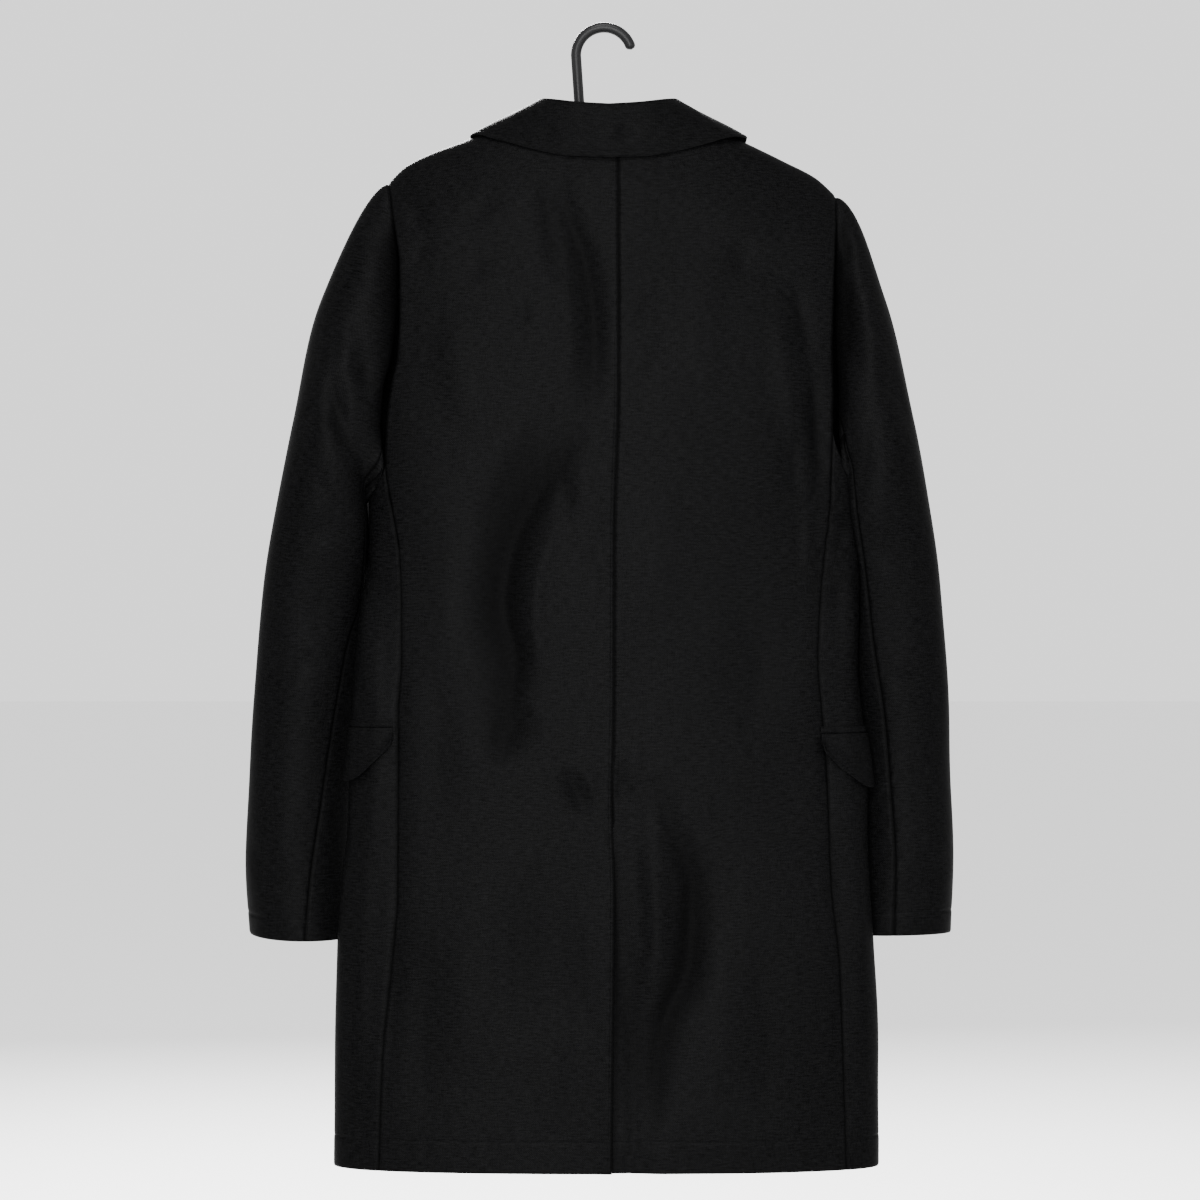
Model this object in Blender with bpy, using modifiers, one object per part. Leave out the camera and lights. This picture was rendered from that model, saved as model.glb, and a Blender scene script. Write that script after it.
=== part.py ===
"""A men's wool coat that hangs on a moulded plastic hanger.

Every cut piece of the coat is its own wall of cloth. The front of the coat faces -Y and its
back faces +Y, the wearer's left is +X, and the origin is the inner crown of the hanger's hook.
Sizes are in millimetres up to the last step, where a mesh is scaled to metres.
"""

import math

import bmesh
import bpy
import numpy as np

MM = 0.001

# Cloth and seams
CLOTH = 1.8
SEAM_GAP = 0.3
LAYER = 2.6
LAPEL_LAYER = 3.0
ARMHOLE_GAP = 1.8

# Heights on the coat, measured down from the hook
HEM = -994.0
CHEST_LEVEL = -402.0
SHOULDER_TIP = {1: -132.0, -1: -144.0}
BREAK = -415.0

# Body
ROUNDNESS = 2.5
SHOULDER_FALL = 85.0
NECK_CENTRE = -4.0
NECK_HALF_WIDTH = 70.0
BACK_NECK = -97.0
SIDE_FRONT_ANGLE = 126.0
FRONT_ARMHOLE_END = -380.0
FRONT_OVERLAP = 22.0
VENT_UNDERLAP = 41.0
# Where the lower layer has sunk: across from the hook, and down from it
VENT_SINK_ACROSS = (-52.0, -24.0)
VENT_SINK_DOWN = (620.0, 660.0)
OVERLAP_SINK_ACROSS = (-76.0, -44.0)
OVERLAP_SINK_DOWN = (250.0, 308.0)
LAPEL_LEFT_BEHIND = 60.0

# Lapels, pockets and buttons
LAPEL_WIDTH = 80.0
GORGE_INNER = -114.5
GORGE_OUTER = -150.0
FLAP_REAR_ANGLE = 50.5
FLAP_FRONT_ANGLE = 150.0
FLAP_DEPTH = 47.0
FLAP_STAND_OFF = 5.0
WELT_DEPTH = 6.0
BUTTON_RADIUS = 11.5
BUTTON_THICK = 4.0
BUTTON_HEIGHTS = (-432.0, -552.0, -672.0)

# Hanger
HOOK_WIRE = 4.5
HOOK_RADIUS = 24.6
HOOK_END_TURN = 12.0
STEM_FOOT_X = 20.0
ARM_HALF_WIDTH = 8.0
ARM_HALF_HEIGHT = 11.0
ARM_TOP_LIMIT = -77.0
ARM_LEFT_END = 172.0
ARM_RIGHT_END = -186.0


def smooth(place, knots, values):
    """A curve through the knots that never overshoots them, level past both ends."""
    gaps = np.diff(knots)
    rises = np.diff(values) / gaps
    slopes = np.zeros(len(knots))
    same = rises[:-1] * rises[1:] > 0
    slopes[1:-1][same] = 2.0 / (1.0 / rises[:-1][same] + 1.0 / rises[1:][same])
    slopes[0] = rises[0]
    slopes[-1] = rises[-1]
    place = np.clip(place, knots[0], knots[-1])
    cell = np.clip(np.searchsorted(knots, place, side="right") - 1, 0, len(gaps) - 1)
    width = gaps[cell]
    t = (place - knots[cell]) / width
    return (
        values[cell] * (1 + 2 * t) * (1 - t) ** 2
        + values[cell + 1] * t * t * (3 - 2 * t)
        + slopes[cell] * width * t * (1 - t) ** 2
        + slopes[cell + 1] * width * t * t * (t - 1)
    )


class Table:
    """Rows of sizes with named columns, read smoothly by the first column."""

    def __init__(self, columns, rows):
        self.columns = columns
        self.rows = np.array(sorted(rows), dtype=float)

    def at(self, column, place):
        return smooth(place, self.rows[:, 0], self.rows[:, self.columns.index(column)])


def side_column(side):
    return "left" if side > 0 else "right"


# Half width to each side of the hook, and depth behind and in front of it
BODY = Table(
    ("height", "left", "right", "back", "front"),
    [
        (-60, 214, 230, 40, 36),
        (-180, 213, 229, 46, 46),
        (-300, 211, 228, 50, 52),
        (-400, 207, 226, 50, 54),
        (-450, 206, 226, 48, 53),
        (-500, 213, 224, 47, 52),
        (-550, 218, 223, 47, 52),
        (-600, 222, 227, 48, 52),
        (-640, 224, 232, 49, 52),
        (-700, 226, 232, 50, 53),
        (-750, 231, 234, 51, 54),
        (-800, 234, 237, 52, 55),
        (-900, 236.5, 241, 54, 56),
        (-1000, 237.5, 241, 56, 58),
    ],
)

# The ridge of the shoulders, by the distance across from the hook
SHOULDERS = {
    1: Table(
        ("across", "height"),
        [(0, -50), (60, -69), (121, -95), (153, -107), (174, -118), (189, -132), (230, -165)],
    ),
    -1: Table(
        ("across", "height"),
        [(0, -50), (60, -68), (128, -99), (157, -113), (185, -127), (204, -144), (240, -175)],
    ),
}

# Outer edge of each back panel: the armhole seam, then the side-back seam
BACK_EDGE = Table(
    ("height", "left", "right"),
    [
        (-132, 189, 204),
        (-165, 184, 203),
        (-210, 178, 201),
        (-245, 178, 200),
        (-285, 180, 199),
        (-315, 186, 200),
        (-350, 190, 200),
        (-380, 191, 199),
        (-420, 185, 197),
        (-455, 179, 193),
        (-500, 177, 189),
        (-550, 177, 187),
        (-600, 180, 191),
        (-650, 180, 195),
        (-750, 180, 199),
        (-815, 185, 206),
        (-900, 193, 209),
        (-994, 196, 211),
    ],
)

# Front edge of each armhole
FRONT_ARMHOLE = Table(
    ("height", "left", "right"),
    [
        (-132, 189, 204),
        (-165, 178, 192),
        (-210, 168, 182),
        (-250, 165, 179),
        (-300, 167, 181),
        (-345, 172, 187),
        (-385, 175, 191),
    ],
)

# Where the armhole leaves the back panel, and how far across the centre back seam lies
ARMHOLE_CORNER = {1: -379.0, -1: -346.0}
CENTRE_BACK = Table(
    ("height", "across"),
    [(-994, -6.5), (-750, -9), (-675, -7), (-590, -8.5), (-440, -9), (-315, -12.5), (-90, -12.5)],
)
# How far the right back reaches past that seam: nothing above the vent, an underlap below it
VENT_EDGE = Table(
    ("height", "past"),
    [(-994, VENT_UNDERLAP), (-722, VENT_UNDERLAP), (-692, 0), (-400, 0)],
)

# Inner edge of each front, measured from the centre front: the roll line, then the front edge
ROLL_LINE = Table(
    ("height", "across"),
    [
        (HEM, -FRONT_OVERLAP),
        (-500, -FRONT_OVERLAP),
        (BREAK, -FRONT_OVERLAP),
        (-250, 22),
        (-150, 49),
        (-100, 63),
        (-85, 67),
        (-70, NECK_HALF_WIDTH),
    ],
)

# The largest folds: three places along each (across, height), its half width and its depth
BACK_FOLDS = [
    (36, -368, 76, -463, 62, -572, 17, 6.0),
    (50, -134, 44, -175, 34, -214, 11, 2.5),
    (-164, -222, -181, -300, -187, -403, 10, 4.0),
    (-36, -712, -50, -800, -44, -897, 15, 4.5),
    (-72, -692, -92, -760, -84, -812, 13, 3.5),
    (62, -770, 74, -850, 70, -930, 15, 3.5),
]
FRONT_FOLDS = [
    (120, -250, 128, -330, 112, -420, 15, 4.0),
    (-118, -230, -134, -310, -120, -400, 15, 4.0),
    (70, -720, 86, -810, 82, -900, 15, 4.5),
    (-84, -700, -70, -800, -88, -915, 15, 4.5),
]
FOLD_SAMPLES = 9

# Sleeve sections from the armhole down: heights at the outer and inner side, outer reach to each
# side, width, place and half depth front to back, how far back the outer side lies, and the turn
# round the section at which the elbow seam lies
SLEEVE = Table(
    (
        "station",
        "outer",
        "inner",
        "left",
        "right",
        "width",
        "centre",
        "skew",
        "depth",
        "seam_left",
        "seam_right",
    ),
    [
        (1, -234, -412, 248, 247, 44, -6, 6, 48, 143, 125),
        (2, -340, -446, 273, 272, 74, -14, 12, 54, 140, 116),
        (3, -446, -500, 295, 292, 96, -30, 15, 52, 137, 108),
        (4, -516, -548, 305, 301, 103, -40, 13, 50, 122, 105),
        (5, -588, -606, 312, 307, 101, -46, 10, 48, 118, 102),
        (6, -659, -669, 316, 309, 97, -50, 7, 47, 114, 100),
        (7, -731, -737, 320, 312, 97, -53, 4, 46, 106, 98),
        (8, -795, -797, 317, 310, 96, -55, 2, 45, 96, 98),
    ],
)
SLEEVE_STATIONS = 8
STATION_LENGTH = 80.0
CUFF_DROP = {1: 4.0, -1: -1.0}
ARMHOLE_SEAM_TURN = {1: 135.0, -1: 118.0}
FOREARM_SEAM_TURN = -125.0
SLEEVE_CLEARANCE = 2.8
# How a sleeve leaves its armhole: out, back and up, on average and towards the shoulder
LEAVE_OUT = (32.0, 26.0)
LEAVE_BACK = 10.0
LEAVE_UP = (-38.0, 22.0)
SOFT_SIDE = 6.0
BELOW_CORNER = 28.0
# Folds across a sleeve: turn and station at its two ends, half width in millimetres, depth
SLEEVE_FOLDS = [
    (95, 1.1, 40, 1.9, 9, 4.0),
    (110, 2.3, 50, 2.9, 11, 3.5),
    (-60, 2.6, -100, 3.3, 11, 4.0),
    (70, 4.3, 20, 4.8, 12, 2.5),
]

# Collar sections from the centre back round to the front: neck seam, fold line and fall edge
COLLAR = Table(
    (
        "station",
        "seam_across",
        "seam_back",
        "seam_height",
        "fold_across",
        "fold_back",
        "fold_height",
        "edge_across",
        "edge_back",
        "edge_height",
    ),
    [
        (0, 0, 35, -95, 0, 41, -68, 0, 44, -116),
        (1, 30, 29, -91, 27, 38, -66, 35, 43, -114),
        (2, 55, 17, -81, 50, 27, -62, 68, 37, -107),
        (3, 63, 2, -73, 61, 8, -59.5, 106, 20, -95),
        (4, 63, -12, -76, 61, -12, -62, 122, -2, -92),
        (5, 60, -24, -88, 61, -28, -76, 119, -22, -104),
        (6, 56, -34, -104, 60, -41, -96, 112, -38, -118),
        (7, 51, -41, -116, 60, -48, -112, 100, -45, -130),
    ],
)
COLLAR_STATIONS = 7
COLLAR_CLEARANCE = 3.2
COLLAR_FOLD_SHARE = 0.4
COLLAR_BEND = 0.14
COLLAR_BELLY = 3.5
COLLAR_LEAN = 2.2


def shoulder(x):
    return np.where(x >= 0, SHOULDERS[1].at("height", x), SHOULDERS[-1].at("height", -x))


def ramp(value, start, end):
    """0 before the start and 1 past the end, with a smooth step between."""
    part = np.clip((value - start) / (end - start), 0, 1)
    return part * part * (3 - 2 * part)


def fold_depth(x, height, folds):
    """How far the folds sink the cloth at each place."""
    sunk = np.zeros(np.broadcast(x, height).shape)
    for x0, h0, x1, h1, x2, h2, width, depth in folds:
        near = np.full(sunk.shape, 1e9)
        along = np.zeros(sunk.shape)
        for t in np.linspace(0, 1, FOLD_SAMPLES):
            fold_x = x0 * (1 - t) ** 2 + 2 * x1 * t * (1 - t) + x2 * t * t
            fold_h = h0 * (1 - t) ** 2 + 2 * h1 * t * (1 - t) + h2 * t * t
            apart = np.hypot(x - fold_x, height - fold_h)
            along = np.where(apart < near, t, along)
            near = np.minimum(near, apart)
        sunk += depth * np.exp(-((near / width) ** 2)) * np.sin(np.pi * (0.12 + 0.76 * along))
    return sunk


def section(angle):
    """Across and back on a rounded section of half width and half depth 1; angle 0 is the back."""
    across = np.sin(np.radians(angle))
    back = np.cos(np.radians(angle))
    reach = (np.abs(across) ** ROUNDNESS + np.abs(back) ** ROUNDNESS) ** (-1 / ROUNDNESS)
    return across * reach, back * reach


def half_width(across, height):
    return np.where(across >= 0, BODY.at("left", height), BODY.at("right", height))


def angle_at(x, height, front):
    """The section's angle at a place across the back or the front."""
    share = np.clip(x / half_width(x, height), -1, 1)
    rest = (1 - np.abs(share) ** ROUNDNESS) ** (1 / ROUNDNESS)
    if front:
        return np.degrees(np.arctan2(share, -rest)) % 360
    return np.degrees(np.arctan2(share, rest))


def rise_at(x, height):
    """How much of its depth the body has under the ridge of the shoulder."""
    share = np.clip((shoulder(x) - height) / SHOULDER_FALL, 0, 1)
    return np.sqrt(1 - (1 - share) ** 2)


def body(angle, height, rise, inset=0.0):
    """A point on the outside of the body, pushed in by its folds and by the inset."""
    across, back = section(angle)
    half = half_width(across, height)
    depth = np.where(back >= 0, BODY.at("back", height), BODY.at("front", height))
    x = across * half
    y = back * depth * rise
    back_sink = fold_depth(x, height, BACK_FOLDS)
    front_sink = fold_depth(x, height, FRONT_FOLDS)
    sink = np.where(back >= 0, back_sink, front_sink) * np.abs(rise) + inset
    out = np.sign(across) * np.abs(across) ** (ROUNDNESS - 1) / half
    rear = np.sign(back) * np.abs(back) ** (ROUNDNESS - 1) / depth
    length = np.hypot(out, rear)
    moved_x = x - sink * out / length
    moved_y = y - sink * rear / length * rise
    return np.stack([moved_x, moved_y, height + 0 * x], axis=-1)


def on_body(x, height, front, inset=0.0):
    return body(angle_at(x, height, front), height, rise_at(x, height), inset)


def back_edge_angle(side, height):
    return angle_at(side * BACK_EDGE.at(side_column(side), height), height, False)


def front_edge_angle(side, height):
    armhole = angle_at(side * FRONT_ARMHOLE.at(side_column(side), height), height, True)
    seam = side * SIDE_FRONT_ANGLE % 360
    return np.where(height > FRONT_ARMHOLE_END, armhole, seam)


def underarm_height(side, angle):
    """Top edge of a side panel: two quarter ellipses that meet under the arm."""
    turn = np.abs(angle)
    rear = np.abs(back_edge_angle(side, ARMHOLE_CORNER[side]))
    share = np.where(turn < 90, (90 - turn) / (90 - rear), (turn - 90) / (SIDE_FRONT_ANGLE - 90))
    corner = np.where(turn < 90, ARMHOLE_CORNER[side], FRONT_ARMHOLE_END)
    return corner + (CHEST_LEVEL - corner) * np.sqrt(np.clip(1 - share**2, 0, 1))


def armhole(side, turn):
    """A point of the armhole seam. Turn 0 is the shoulder, 90 the back, 180 the underarm."""
    turn = turn % 360
    at_back = turn <= 180
    tip = SHOULDER_TIP[side]
    height = tip + (CHEST_LEVEL - tip) * (1 - np.cos(np.radians(turn))) / 2
    corner = np.where(at_back, ARMHOLE_CORNER[side], FRONT_ARMHOLE_END)
    rear = np.abs(back_edge_angle(side, ARMHOLE_CORNER[side]))
    low = np.sqrt(np.clip(1 - ((height - corner) / (CHEST_LEVEL - corner)) ** 2, 0, 1))
    bottom = np.where(at_back, 90 - (90 - rear) * low, 90 + (SIDE_FRONT_ANGLE - 90) * low)
    front_turn = front_edge_angle(side, height)
    front_turn = np.where(front_turn > 180, 360 - front_turn, front_turn)
    upper = np.where(at_back, np.abs(back_edge_angle(side, height)), front_turn)
    angle = np.where(height > corner, upper, bottom)
    across, _ = section(angle)
    x = side * across * half_width(side + 0 * across, height)
    return body(side * angle, height, rise_at(x, height))


def wall(name, point, columns, rows, material, facing=1, free=(), thickness=CLOTH):
    """A closed wall of cloth: an outer loft, the same points moved in, and the rim between.

    The point function takes shares across and down. The sides that are not free get half of
    the seam gap.
    """
    step = 0.004
    across, down = np.meshgrid(columns, rows, indexing="ij")
    outer = point(across, down)
    along = point(across + step, down) - point(across - step, down)
    below = point(across, down + step) - point(across, down - step)
    normal = np.cross(along, below) * facing
    normal /= np.linalg.norm(normal, axis=-1, keepdims=True)
    inner = outer - normal * thickness
    for layer in (outer, inner):
        for edge in ("start", "end", "top", "bottom"):
            if edge not in free:
                draw_in(layer, edge)
    count_across, count_down = across.shape
    mesh = bmesh.new()
    shells = [
        [[mesh.verts.new(layer[i, j] * MM) for j in range(count_down)] for i in range(count_across)]
        for layer in (outer, inner)
    ]
    for shell, turned in zip(shells, (False, True)):
        for i in range(count_across - 1):
            for j in range(count_down - 1):
                corners = [shell[i][j], shell[i + 1][j], shell[i + 1][j + 1], shell[i][j + 1]]
                mesh.faces.new(corners[::-1] if turned else corners)
    rim = [(i, 0) for i in range(count_across)]
    rim += [(count_across - 1, j) for j in range(1, count_down)]
    rim += [(i, count_down - 1) for i in range(count_across - 2, -1, -1)]
    rim += [(0, j) for j in range(count_down - 2, 0, -1)]
    for (i0, j0), (i1, j1) in zip(rim, rim[1:] + rim[:1]):
        mesh.faces.new([shells[0][i1][j1], shells[0][i0][j0], shells[1][i0][j0], shells[1][i1][j1]])
    bmesh.ops.recalc_face_normals(mesh, faces=mesh.faces)
    return add_mesh(name, mesh, material)


def draw_in(layer, edge):
    """Moves one side of a grid of points inwards by half of the seam gap."""
    first, second = {
        "start": ((0, slice(None)), (1, slice(None))),
        "end": ((-1, slice(None)), (-2, slice(None))),
        "top": ((slice(None), 0), (slice(None), 1)),
        "bottom": ((slice(None), -1), (slice(None), -2)),
    }[edge]
    way = layer[second] - layer[first]
    layer[first] += way / np.linalg.norm(way, axis=-1, keepdims=True) * SEAM_GAP / 2


def add_mesh(name, mesh, material):
    data = bpy.data.meshes.new(name)
    mesh.to_mesh(data)
    mesh.free()
    data.materials.append(material)
    data.shade_smooth()
    data.set_sharp_from_angle(angle=math.radians(40))
    piece = bpy.data.objects.new(name, data)
    coat.objects.link(piece)
    return piece


def make_material(name, colour, roughness):
    material = bpy.data.materials.new(name)
    material.use_nodes = True
    shader = material.node_tree.nodes["Principled BSDF"]
    shader.inputs["Base Color"].default_value = (*colour, 1)
    shader.inputs["Roughness"].default_value = roughness
    shader.inputs["Metallic"].default_value = 0.0
    material.diffuse_color = (*colour, 1)
    return material


# Rows of every body panel: the shoulder's ridge, down to the chest level, then down to the hem
RIDGE_ROWS = 5
UPPER_ROWS = 7
LOWER_ROWS = 18
SIDE_UPPER_ROWS = 2
ALL_ROWS = RIDGE_ROWS + UPPER_ROWS + LOWER_ROWS
RIDGE_END = RIDGE_ROWS / ALL_ROWS
CHEST_ROW = (RIDGE_ROWS + UPPER_ROWS) / ALL_ROWS


def lower_height(down):
    return CHEST_LEVEL + (HEM - CHEST_LEVEL) * (down - CHEST_ROW) / (1 - CHEST_ROW)


def shoulder_panel(edge_in, edge_out, top_turn, inset):
    """A panel that starts on the shoulder's ridge. Its edges give an angle for a height."""

    def point(across, down):
        height = np.minimum(lower_height(down), SHOULDER_TIP[1])
        turn = np.full(across.shape, 90.0)
        for _ in range(12):
            angle = edge_in(height) + (edge_out(height) - edge_in(height)) * across
            share, _ = section(angle)
            x = share * half_width(share, height)
            start = top_turn(x)
            turn = np.where(down < RIDGE_END, start + (90 - start) * down / RIDGE_END, 90)
            ridge = shoulder(x) - SHOULDER_FALL * (1 - np.cos(np.radians(turn)))
            line = shoulder(x) - SHOULDER_FALL
            upper = line + (CHEST_LEVEL - line) * (down - RIDGE_END) / (CHEST_ROW - RIDGE_END)
            below = np.where(down < CHEST_ROW, upper, lower_height(down))
            height = np.where(down < RIDGE_END, ridge, below)
        return body(angle, height, np.sin(np.radians(turn)), inset(x, height))

    return point


def neckline_turn(x):
    """Where the back neckline cuts the shoulder's curve: 0 on the ridge, more at the centre."""
    share = np.clip(np.abs(x - NECK_CENTRE) / NECK_HALF_WIDTH, 0, 1)
    neck_side = NECK_CENTRE + np.sign(x - NECK_CENTRE) * NECK_HALF_WIDTH
    neckline = BACK_NECK + (shoulder(neck_side) - BACK_NECK) * share**2.2
    drop = np.clip((shoulder(x) - neckline) / SHOULDER_FALL, 0, 1)
    return np.degrees(np.arccos(1 - drop))


def vent_inset(x, height):
    """The right back sinks under the left one from a little above the vent."""
    return LAYER * ramp(x, *VENT_SINK_ACROSS) * ramp(-height, *VENT_SINK_DOWN)


def overlap_inset(x, height):
    """The right front sinks under the left one, deepest where its lapel also lies between."""
    under = ramp(x, *OVERLAP_SINK_ACROSS) * ramp(-height, *OVERLAP_SINK_DOWN)
    return under * LAYER * (2 - ramp(-height, -BREAK, -BREAK + LAPEL_LEFT_BEHIND))


def no_inset(x, height):
    return 0 * x


ALL_EDGES = ("start", "end", "top", "bottom")


def even(count):
    return np.linspace(0, 1, count + 1)


def make_backs(wool):
    def centre_left(height):
        return angle_at(CENTRE_BACK.at("across", height), height, False)

    def centre_right(height):
        across = CENTRE_BACK.at("across", height) + VENT_EDGE.at("past", height)
        return angle_at(across, height, False)

    for name, side, centre, inset in (
        ("back_left", 1, centre_left, no_inset),
        ("back_right", -1, centre_right, vent_inset),
    ):
        def outer_edge(height, side=side):
            return back_edge_angle(side, height)

        panel = shoulder_panel(centre, outer_edge, neckline_turn, inset)
        wall(name, panel, even(12), even(ALL_ROWS), wool, facing=side, free=("bottom",))


def roll_x(side, height):
    return NECK_CENTRE + side * ROLL_LINE.at("across", height)


def make_fronts(wool):
    for name, side, inset in (("front_left", 1, no_inset), ("front_right", -1, overlap_inset)):
        def inner_edge(height, side=side):
            return angle_at(roll_x(side, height), height, True)

        def outer_edge(height, side=side):
            return front_edge_angle(side, height)

        def on_ridge(x):
            return 0 * x

        panel = shoulder_panel(inner_edge, outer_edge, on_ridge, inset)
        wall(name, panel, even(12), even(ALL_ROWS), wool, facing=-side, free=("bottom", "start"))


def make_sides(wool):
    """Side panels from the side-back seam round to the front, under the armhole."""
    rows = SIDE_UPPER_ROWS + LOWER_ROWS
    upper_share = SIDE_UPPER_ROWS / rows
    for name, side in (("side_left", 1), ("side_right", -1)):
        def point(across, down, side=side):
            low = CHEST_LEVEL + (HEM - CHEST_LEVEL) * (down - upper_share) / (1 - upper_share)
            height = np.minimum(low, CHEST_LEVEL)
            for _ in range(6):
                rear = np.abs(back_edge_angle(side, height))
                angle = rear + (SIDE_FRONT_ANGLE - rear) * across
                top = underarm_height(side, angle)
                first = CHEST_LEVEL + (HEM - CHEST_LEVEL) / LOWER_ROWS
                upper = top + (first - top) * down / (upper_share + 1 / rows)
                height = np.where(down < upper_share + 1 / rows, upper, low)
            return body(side * angle, height, 1.0)

        wall(name, point, even(7), even(rows), wool, facing=side, free=("bottom",))


def sleeve_ring(side, station, turn):
    """A point of a sleeve section, held clear of the body that it lies against."""
    half = SLEEVE.at("width", station) / 2
    outer = SLEEVE.at("outer", station)
    inner = SLEEVE.at("inner", station)
    drop = CUFF_DROP[side] * station / SLEEVE_STATIONS
    out = np.cos(np.radians(turn))
    back = np.sin(np.radians(turn))
    x = SLEEVE.at(side_column(side), station) - half + half * out
    y = SLEEVE.at("centre", station) + SLEEVE.at("skew", station) * out
    y = y + SLEEVE.at("depth", station) * back
    height = (outer + inner) / 2 + (outer - inner) / 2 * out - drop * back
    return np.stack([side * x, y, height], axis=-1)


def clear_of_body(side, points, clearance):
    """Moves points that lie inside the body, grown by the clearance, out to its sides."""
    x, y, height = points[..., 0], points[..., 1], points[..., 2]
    wide = half_width(x, height) + clearance
    deep = np.where(y >= 0, BODY.at("back", height), BODY.at("front", height)) + clearance
    share = np.abs(y / deep)
    beside = wide * np.clip(1 - share**ROUNDNESS, 0, 1) ** (1 / ROUNDNESS)
    corner = np.where(y >= 0, ARMHOLE_CORNER[side], FRONT_ARMHOLE_END)
    gap = np.clip((beside - np.abs(x)) / SOFT_SIDE, -30, 30)
    push = SOFT_SIDE * np.log1p(np.exp(gap)) * ramp(corner - height, 0, BELOW_CORNER)
    moved = np.where(share < 1, np.sign(x) * (np.abs(x) + push), x)
    return np.stack([moved, y, height], axis=-1)


def sleeve(side, turn, along):
    """A point of the sleeve: along runs from 0 at the armhole to SLEEVE_STATIONS at the cuff."""
    cell = np.clip(np.floor(along), 0, SLEEVE_STATIONS - 1)
    t = along - cell
    out = np.cos(np.radians(turn))
    back = np.sin(np.radians(turn))
    leave_out = side * (LEAVE_OUT[0] + LEAVE_OUT[1] * out)
    leave = np.stack([leave_out, LEAVE_BACK * back, LEAVE_UP[0] + LEAVE_UP[1] * out], axis=-1)
    start = armhole(side, turn)
    start = start + leave / np.linalg.norm(leave, axis=-1, keepdims=True) * ARMHOLE_GAP

    def ring(station):
        inside = sleeve_ring(side, np.clip(station, 1, SLEEVE_STATIONS), turn)
        return np.where((station < 0.5)[..., None], start, inside)

    def slope(station):
        middle = (ring(station + 1) - ring(np.maximum(station - 1, 0))) / 2
        last = ring(station) - ring(np.maximum(station - 1, 0))
        at_end = (station > SLEEVE_STATIONS - 0.5)[..., None]
        return np.where((station < 0.5)[..., None], leave, np.where(at_end, last, middle))

    t = t[..., None]
    point = (
        ring(cell) * (1 + 2 * t) * (1 - t) ** 2
        + ring(cell + 1) * t * t * (3 - 2 * t)
        + slope(cell) * t * (1 - t) ** 2
        + slope(cell + 1) * t * t * (t - 1)
    )
    return clear_of_body(side, point, SLEEVE_CLEARANCE)


def sleeve_fold_depth(turn, along):
    """How far the sleeve's folds sink it; a turn of one degree is about a millimetre."""
    sunk = np.zeros(turn.shape)
    for turn0, along0, turn1, along1, width, depth in SLEEVE_FOLDS:
        run = np.array([turn1 - turn0, (along1 - along0) * STATION_LENGTH])
        gone = ((turn - turn0) * run[0] + (along - along0) * STATION_LENGTH * run[1]) / (run @ run)
        part = np.clip(gone, 0, 1)
        aside = turn - turn0 - part * run[0]
        apart = np.hypot(aside, (along - along0) * STATION_LENGTH - part * run[1])
        sunk += depth * np.exp(-((apart / width) ** 2)) * np.sin(np.pi * (0.15 + 0.7 * part))
    return sunk


def folded_sleeve(side, turn, along):
    centre = sleeve(side, turn + 180, along)
    point = sleeve(side, turn, along)
    way = centre - point
    way /= np.linalg.norm(way, axis=-1, keepdims=True)
    return point + way * sleeve_fold_depth(turn, along)[..., None]


def elbow_turn(side, along):
    down = SLEEVE.at("seam_" + side_column(side), along)
    return ARMHOLE_SEAM_TURN[side] + (down - ARMHOLE_SEAM_TURN[side]) * ramp(along, 0, 1)


def make_sleeves(wool):
    rows = even(22)
    for label, side in (("left", 1), ("right", -1)):
        def top(across, down, side=side):
            along = np.clip(down, 0, 1) * SLEEVE_STATIONS
            seam = elbow_turn(side, along)
            return folded_sleeve(side, seam + (FOREARM_SEAM_TURN - seam) * across, along)

        def under(across, down, side=side):
            along = np.clip(down, 0, 1) * SLEEVE_STATIONS
            seam = elbow_turn(side, along)
            return folded_sleeve(side, seam + (FOREARM_SEAM_TURN + 360 - seam) * across, along)

        wall("sleeve_top_" + label, top, even(16), rows, wool, facing=side, free=("top", "bottom"))
        wall("sleeve_under_" + label, under, even(9), rows, wool, facing=-side, free=("top", "bottom"))


def clear_of_shoulders(points, clearance):
    """Moves points out of the body, grown by the clearance, where its shoulders round over."""
    x, y, height = points[..., 0], points[..., 1], points[..., 2]
    share = np.clip(np.abs(x) / half_width(x, height), 0, 1)
    reach = (1 - share**ROUNDNESS) ** (1 / ROUNDNESS)
    depth = np.where(y >= 0, BODY.at("back", height), BODY.at("front", height)) * reach + clearance
    axis = shoulder(x) - SHOULDER_FALL
    above = np.maximum(height - axis, 0) / (SHOULDER_FALL + clearance)
    size = np.sqrt((y / depth) ** 2 + above**2)
    push = np.where(size < 1, 1 / size, 1)
    raised = np.where(height > axis, axis + (height - axis) * push, height)
    return np.stack([x, y * push, raised], axis=-1)


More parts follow.
